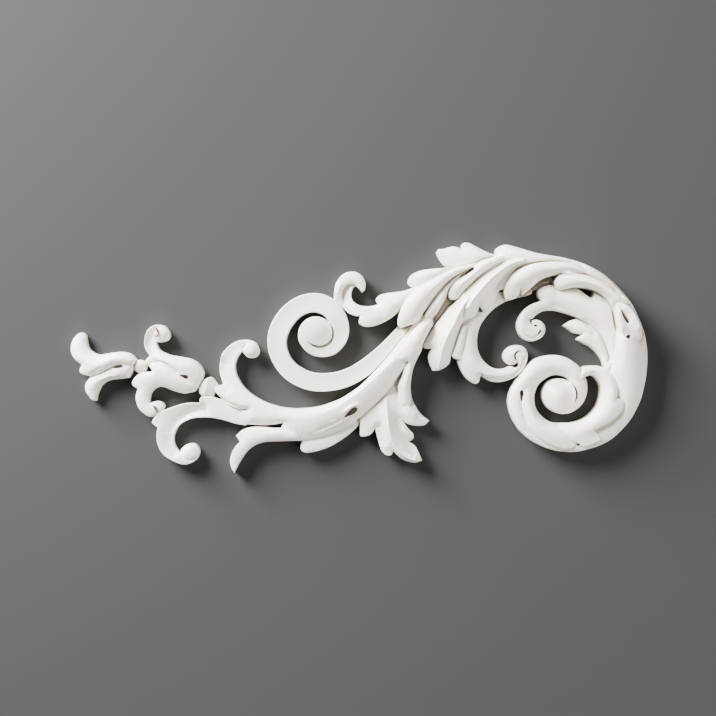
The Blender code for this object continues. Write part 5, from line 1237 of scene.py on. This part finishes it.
@dataclass
class Casting:
    """The whole onlay as one casting.

    Args:
        members: The carved members, from the lowest to the topmost.
        knobs: The knobs at the ends of the curls.
        pockets: Outlines of all that is sunk into the casting.
        grooves: The grooves and raised lines of its faces.
        finish: Its finish.
    """

    members: list[Member]
    knobs: list[Knob]
    pockets: list[list[Run]]
    grooves: list[Groove]
    finish: Finish

    def face_points(self, member: Member, loop: np.ndarray, outlines: list[np.ndarray]) -> np.ndarray:
        """Sets out the points of a member's face.

        Args:
            member: The member.
            loop: Its outline.
            outlines: The outlines of the members that lie over it.

        Returns:
            The points inside the outline, close together along edges, grooves and valleys.
        """
        round_width = EDGE_ROUND / STEP
        low, high = loop.min(axis=0), loop.max(axis=0)
        fill = [(x + (row % 2) * FACE_SPACING / 2, y)
                for row, y in enumerate(np.arange(low[1] + 1, high[1], FACE_SPACING * 0.87))
                for x in np.arange(low[0] + 1, high[0], FACE_SPACING)]
        spine = np.vstack([bend(v, SPINE_SPACING)[:, :2] for v in member.veins])
        lines = [beside(bend(groove.path, LINE_SPACING), groove.width * k)
                 for groove in self.grooves for k in GROOVE_ROWS]
        lines += [rows_behind_edge(over, VALLEY_ROWS) for over in outlines]
        groups = []
        for share, room in EDGE_ROWS:
            row = rows_behind_edge(loop, [round_width * share])
            row = row[inside(row, loop)]
            groups.append((row[edge_distances(row, loop) > round_width * share * 0.9], room))
        for group, room in ((np.vstack(lines), ROW_ROOM), (spine, VEIN_ROOM), (np.array(fill), FACE_ROOM)):
            group = group[inside(group, loop)]
            groups.append((group[edge_distances(group, loop) > round_width], room))
        return settle(groups)

    def carve(self, member: Member, loop: np.ndarray, order: int,
              above: list[tuple[Member, np.ndarray]]) -> bpy.types.Object:
        """Carves one member inside its outline, with a quarter round along its edge.

        Args:
            member: The member to carve.
            loop: Its outline.
            order: Its place in the list of members.
            above: The members that lie over it, with their outlines.

        Returns:
            The member as a closed solid.
        """
        flat, faces = filled(loop, self.face_points(member, loop, [over for _, over in above]))
        gaps = edge_distances(flat, loop)
        heights = carved_heights(flat, gaps, member.veins, member.profile.value)
        heights = soften(flat, faces, heights, np.clip(gaps * 0.6, 0.3, member.softening))
        for groove in self.grooves:
            if groove.member in ("", member.name):
                heights -= self.groove_depths(flat, groove)
        for other, over in above:
            heights -= self.valley_depths(flat, heights, other, over)
        heights = np.minimum(heights * PART, RELIEF)
        curl = np.clip(1 - gaps / (EDGE_ROUND / STEP), 0, 1)
        heights -= EDGE_ROUND * (1 - np.sqrt(1 - curl ** 2))
        return close_solid(member.name, flat, faces, heights, BACK_TRIM * (1 + 0.03 * order))

    @staticmethod
    def groove_depths(flat: np.ndarray, groove: Groove) -> np.ndarray:
        """Works out how deep a groove is at each point; it fades out at its ends.

        Args:
            flat: The points, in steps.
            groove: The groove.

        Returns:
            The depths, in parts.
        """
        path = bend(groove.path, GROOVE_SPACING)
        near_end = np.minimum(np.arange(len(path)), np.arange(len(path))[::-1])
        fade = np.minimum(1, near_end * GROOVE_SPACING / GROOVE_FADE + 0.1)
        reach = np.linalg.norm(flat[:, None, :] - path[None, :, :], axis=2)
        near = reach.argmin(axis=1)
        return groove.depth * fade[near] * np.exp(-(reach.min(axis=1) / groove.width) ** 2)

    @staticmethod
    def valley_depths(flat: np.ndarray, heights: np.ndarray, other: Member, over: np.ndarray) -> np.ndarray:
        """Works out how far a face sinks towards a member that stands up over it.

        Args:
            flat: The points of the face, in steps.
            heights: Its heights, in parts.
            other: The member over it.
            over: That member's outline.

        Returns:
            The depths, in parts.
        """
        depths = np.zeros(len(flat))
        low, high = over.min(axis=0) - VALLEY_WIDTH * 3, over.max(axis=0) + VALLEY_WIDTH * 3
        close = np.nonzero(np.all((flat > low) & (flat < high), axis=1))[0]
        if not len(close):
            return depths
        reach = np.linalg.norm(flat[close][:, None, :] - over[None, :, :], axis=2)
        edge = carved_heights(over, np.zeros(len(over)), other.veins, other.profile.value)
        rise = np.clip(edge[reach.argmin(axis=1)] - heights[close] + VALLEY_START, 0,
                       VALLEY_DEPTH / VALLEY_SHARE)
        away = edge_distances(flat[close], over)
        depths[close] = VALLEY_SHARE * rise * np.exp(-(away / VALLEY_WIDTH) ** 2)
        return depths

    def build(self) -> bpy.types.Object:
        """Joins the members, sinks the eyelets and slits, cuts the back flat and shades the face.

        Returns:
            The finished casting.
        """
        pairs = [(member, outline_of(member.runs, OUTLINE_SPACING)) for member in self.members]
        body = self.carve(*pairs[0], 0, pairs[1:])
        for order, (member, loop) in enumerate(pairs[1:], 1):
            combine(body, self.carve(member, loop, order, pairs[order + 1:]), "UNION")
        for order, knob in enumerate(self.knobs, len(self.members)):
            head = Member("knob", [], [[(*knob.centre, knob.crown, knob.edge, knob.edge)]])
            loop = circle(knob.centre, knob.radius, KNOB_POINTS)
            combine(body, self.carve(head, loop, order, []), "UNION")
        for number, runs in enumerate(self.pockets):
            flat, faces = filled(outline_of(runs, POCKET_SPACING), np.empty((0, 2)))
            cutter = close_solid("pocket", flat, faces, np.full(len(flat), RELIEF * 1.3),
                                 -POCKET_FLOOR * (1 + 0.01 * number))
            combine(body, cutter, "DIFFERENCE")
        combine(body, self.behind(), "DIFFERENCE")
        body.name = body.data.name = "onlay_casting"
        ease(body.data, EASE_ROUNDS)
        body.data.materials.clear()
        body.data.materials.append(cast_material(self.finish))
        for polygon in body.data.polygons:
            polygon.use_smooth = True
        body.data.set_sharp_from_angle(angle=SHARP_ANGLE)
        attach(body, "root")
        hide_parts("scroll_onlay")
        LOG.info("onlay_casting: %d triangles", sum(len(p.vertices) - 2 for p in body.data.polygons))
        return body

    @staticmethod
    def behind() -> bpy.types.Object:
        """Makes the block that trims the back flat.

        Returns:
            The block, larger than the casting all round.
        """
        bm = bmesh.new()
        bmesh.ops.create_cube(bm, size=1.0)
        for v in bm.verts:
            v.co = Vector((v.co.x * LENGTH * 1.5, (v.co.y + 0.5) * BACK_TRIM * 5, v.co.z * LENGTH))
        return made_of("behind", bm)


@dataclass
class Studio:
    """The plain wall behind the onlay, the soft light and the camera.

    Args:
        lamps: The lights.
        board: What the wall is made of.
        distance: How far the camera is from the carving, in metres.
        width: How much it sees across at the carving, in metres.
        relief: How far the middle of the carving stands out from the wall, in metres.
        aim: The point it looks at, in steps.
        sensor: Width of the camera's sensor, in millimetres.
        daylight: Strength of the even light all round.
        wall_gap: Room between the wall and the casting's back, in metres.
        wall_side: Side of the wall, in metres.
    """

    lamps: list[Lamp]
    board: Board
    distance: float = 0.9
    width: float = 0.3964
    relief: float = 0.009
    aim: tuple[float, float] = (-42.0, -8.0)
    sensor: float = 36.0
    daylight: float = 0.2
    wall_gap: float = 0.0002
    wall_side: float = 3.2

    def build(self, casting: bpy.types.Object) -> None:
        """Builds the wall behind the casting, the lights and the camera.

        Args:
            casting: The finished casting.
        """
        self.wall(casting)
        for lamp in self.lamps:
            self.light(lamp)
        world = bpy.data.worlds.new("studio")
        world.use_nodes = True
        daylight = world.node_tree.nodes["Background"]
        daylight.inputs["Color"].default_value = (1, 1, 1, 1)
        daylight.inputs["Strength"].default_value = self.daylight
        bpy.context.scene.world = world
        lens = bpy.data.cameras.new("camera")
        lens.sensor_width = self.sensor
        lens.lens = self.distance * self.sensor / self.width
        camera = to_object("camera", lens)
        camera.location = (self.aim[0] * STEP, -self.distance - self.relief, self.aim[1] * STEP)
        camera.rotation_euler = (math.radians(90), 0, 0)
        bpy.context.scene.camera = camera

    @staticmethod
    def light(lamp: Lamp) -> None:
        """Hangs one lamp so that it faces the onlay.

        Args:
            lamp: The lamp.
        """
        light = bpy.data.lights.new(lamp.name, "AREA")
        light.size = lamp.size
        light.energy = lamp.power
        piece = to_object(lamp.name, light)
        piece.location = lamp.place
        piece.rotation_euler = Vector(lamp.place).to_track_quat("Z", "Y").to_euler()

    def wall(self, casting: bpy.types.Object) -> None:
        """Builds the plain grey wall, which shows only its front and is open under the casting.

        Args:
            casting: The finished casting.
        """
        back = bmesh.new()
        back.from_mesh(casting.data)
        back.faces.ensure_lookup_table()
        flush = {f.index for f in back.faces
                 if f.normal.y > 0.9 and f.calc_center_median().y > -self.wall_gap}
        rims = [e for e in back.edges if sum(f.index in flush for f in e.link_faces) == 1]
        ends = np.array([[(v.co.x / STEP, v.co.z / STEP) for v in e.verts] for e in rims])
        back.free()
        side = self.wall_side / 2 / STEP
        points = [Vector(p) for p in ends.reshape(-1, 2)]
        points += [Vector(p) for p in ((-side, -side), (side, -side), (side, side), (-side, side))]
        flat, _, faces, _, _, _ = geometry.delaunay_2d_cdt(
            points, [(2 * k, 2 * k + 1) for k in range(len(rims))], [], 0, 1e-4, False)
        flat = np.array([tuple(p) for p in flat])
        middles = np.array([flat[face].mean(axis=0) for face in faces])
        covered = enclosed(middles, ends[:, 0], ends[:, 1])
        mesh = bpy.data.meshes.new("wall")
        mesh.from_pydata([(x * STEP, self.wall_gap, z * STEP) for x, z in flat], [],
                         [face for face, hidden in zip(faces, covered) if not hidden])
        mesh.materials.append(board_material(self.board))
        piece = to_object("wall", mesh)


def main() -> None:
    """Builds the onlay and the studio."""
    logging.basicConfig(level=logging.INFO, format="%(message)s")
    casting = Casting(MEMBERS, KNOBS, POCKETS + SLITS, CREASES, PRIMED_CAST).build()
    Studio(LAMPS, GREY_BOARD).build(casting)
    LOG.info("studio: wall, lights and camera")


if __name__ == "__main__":
    main()
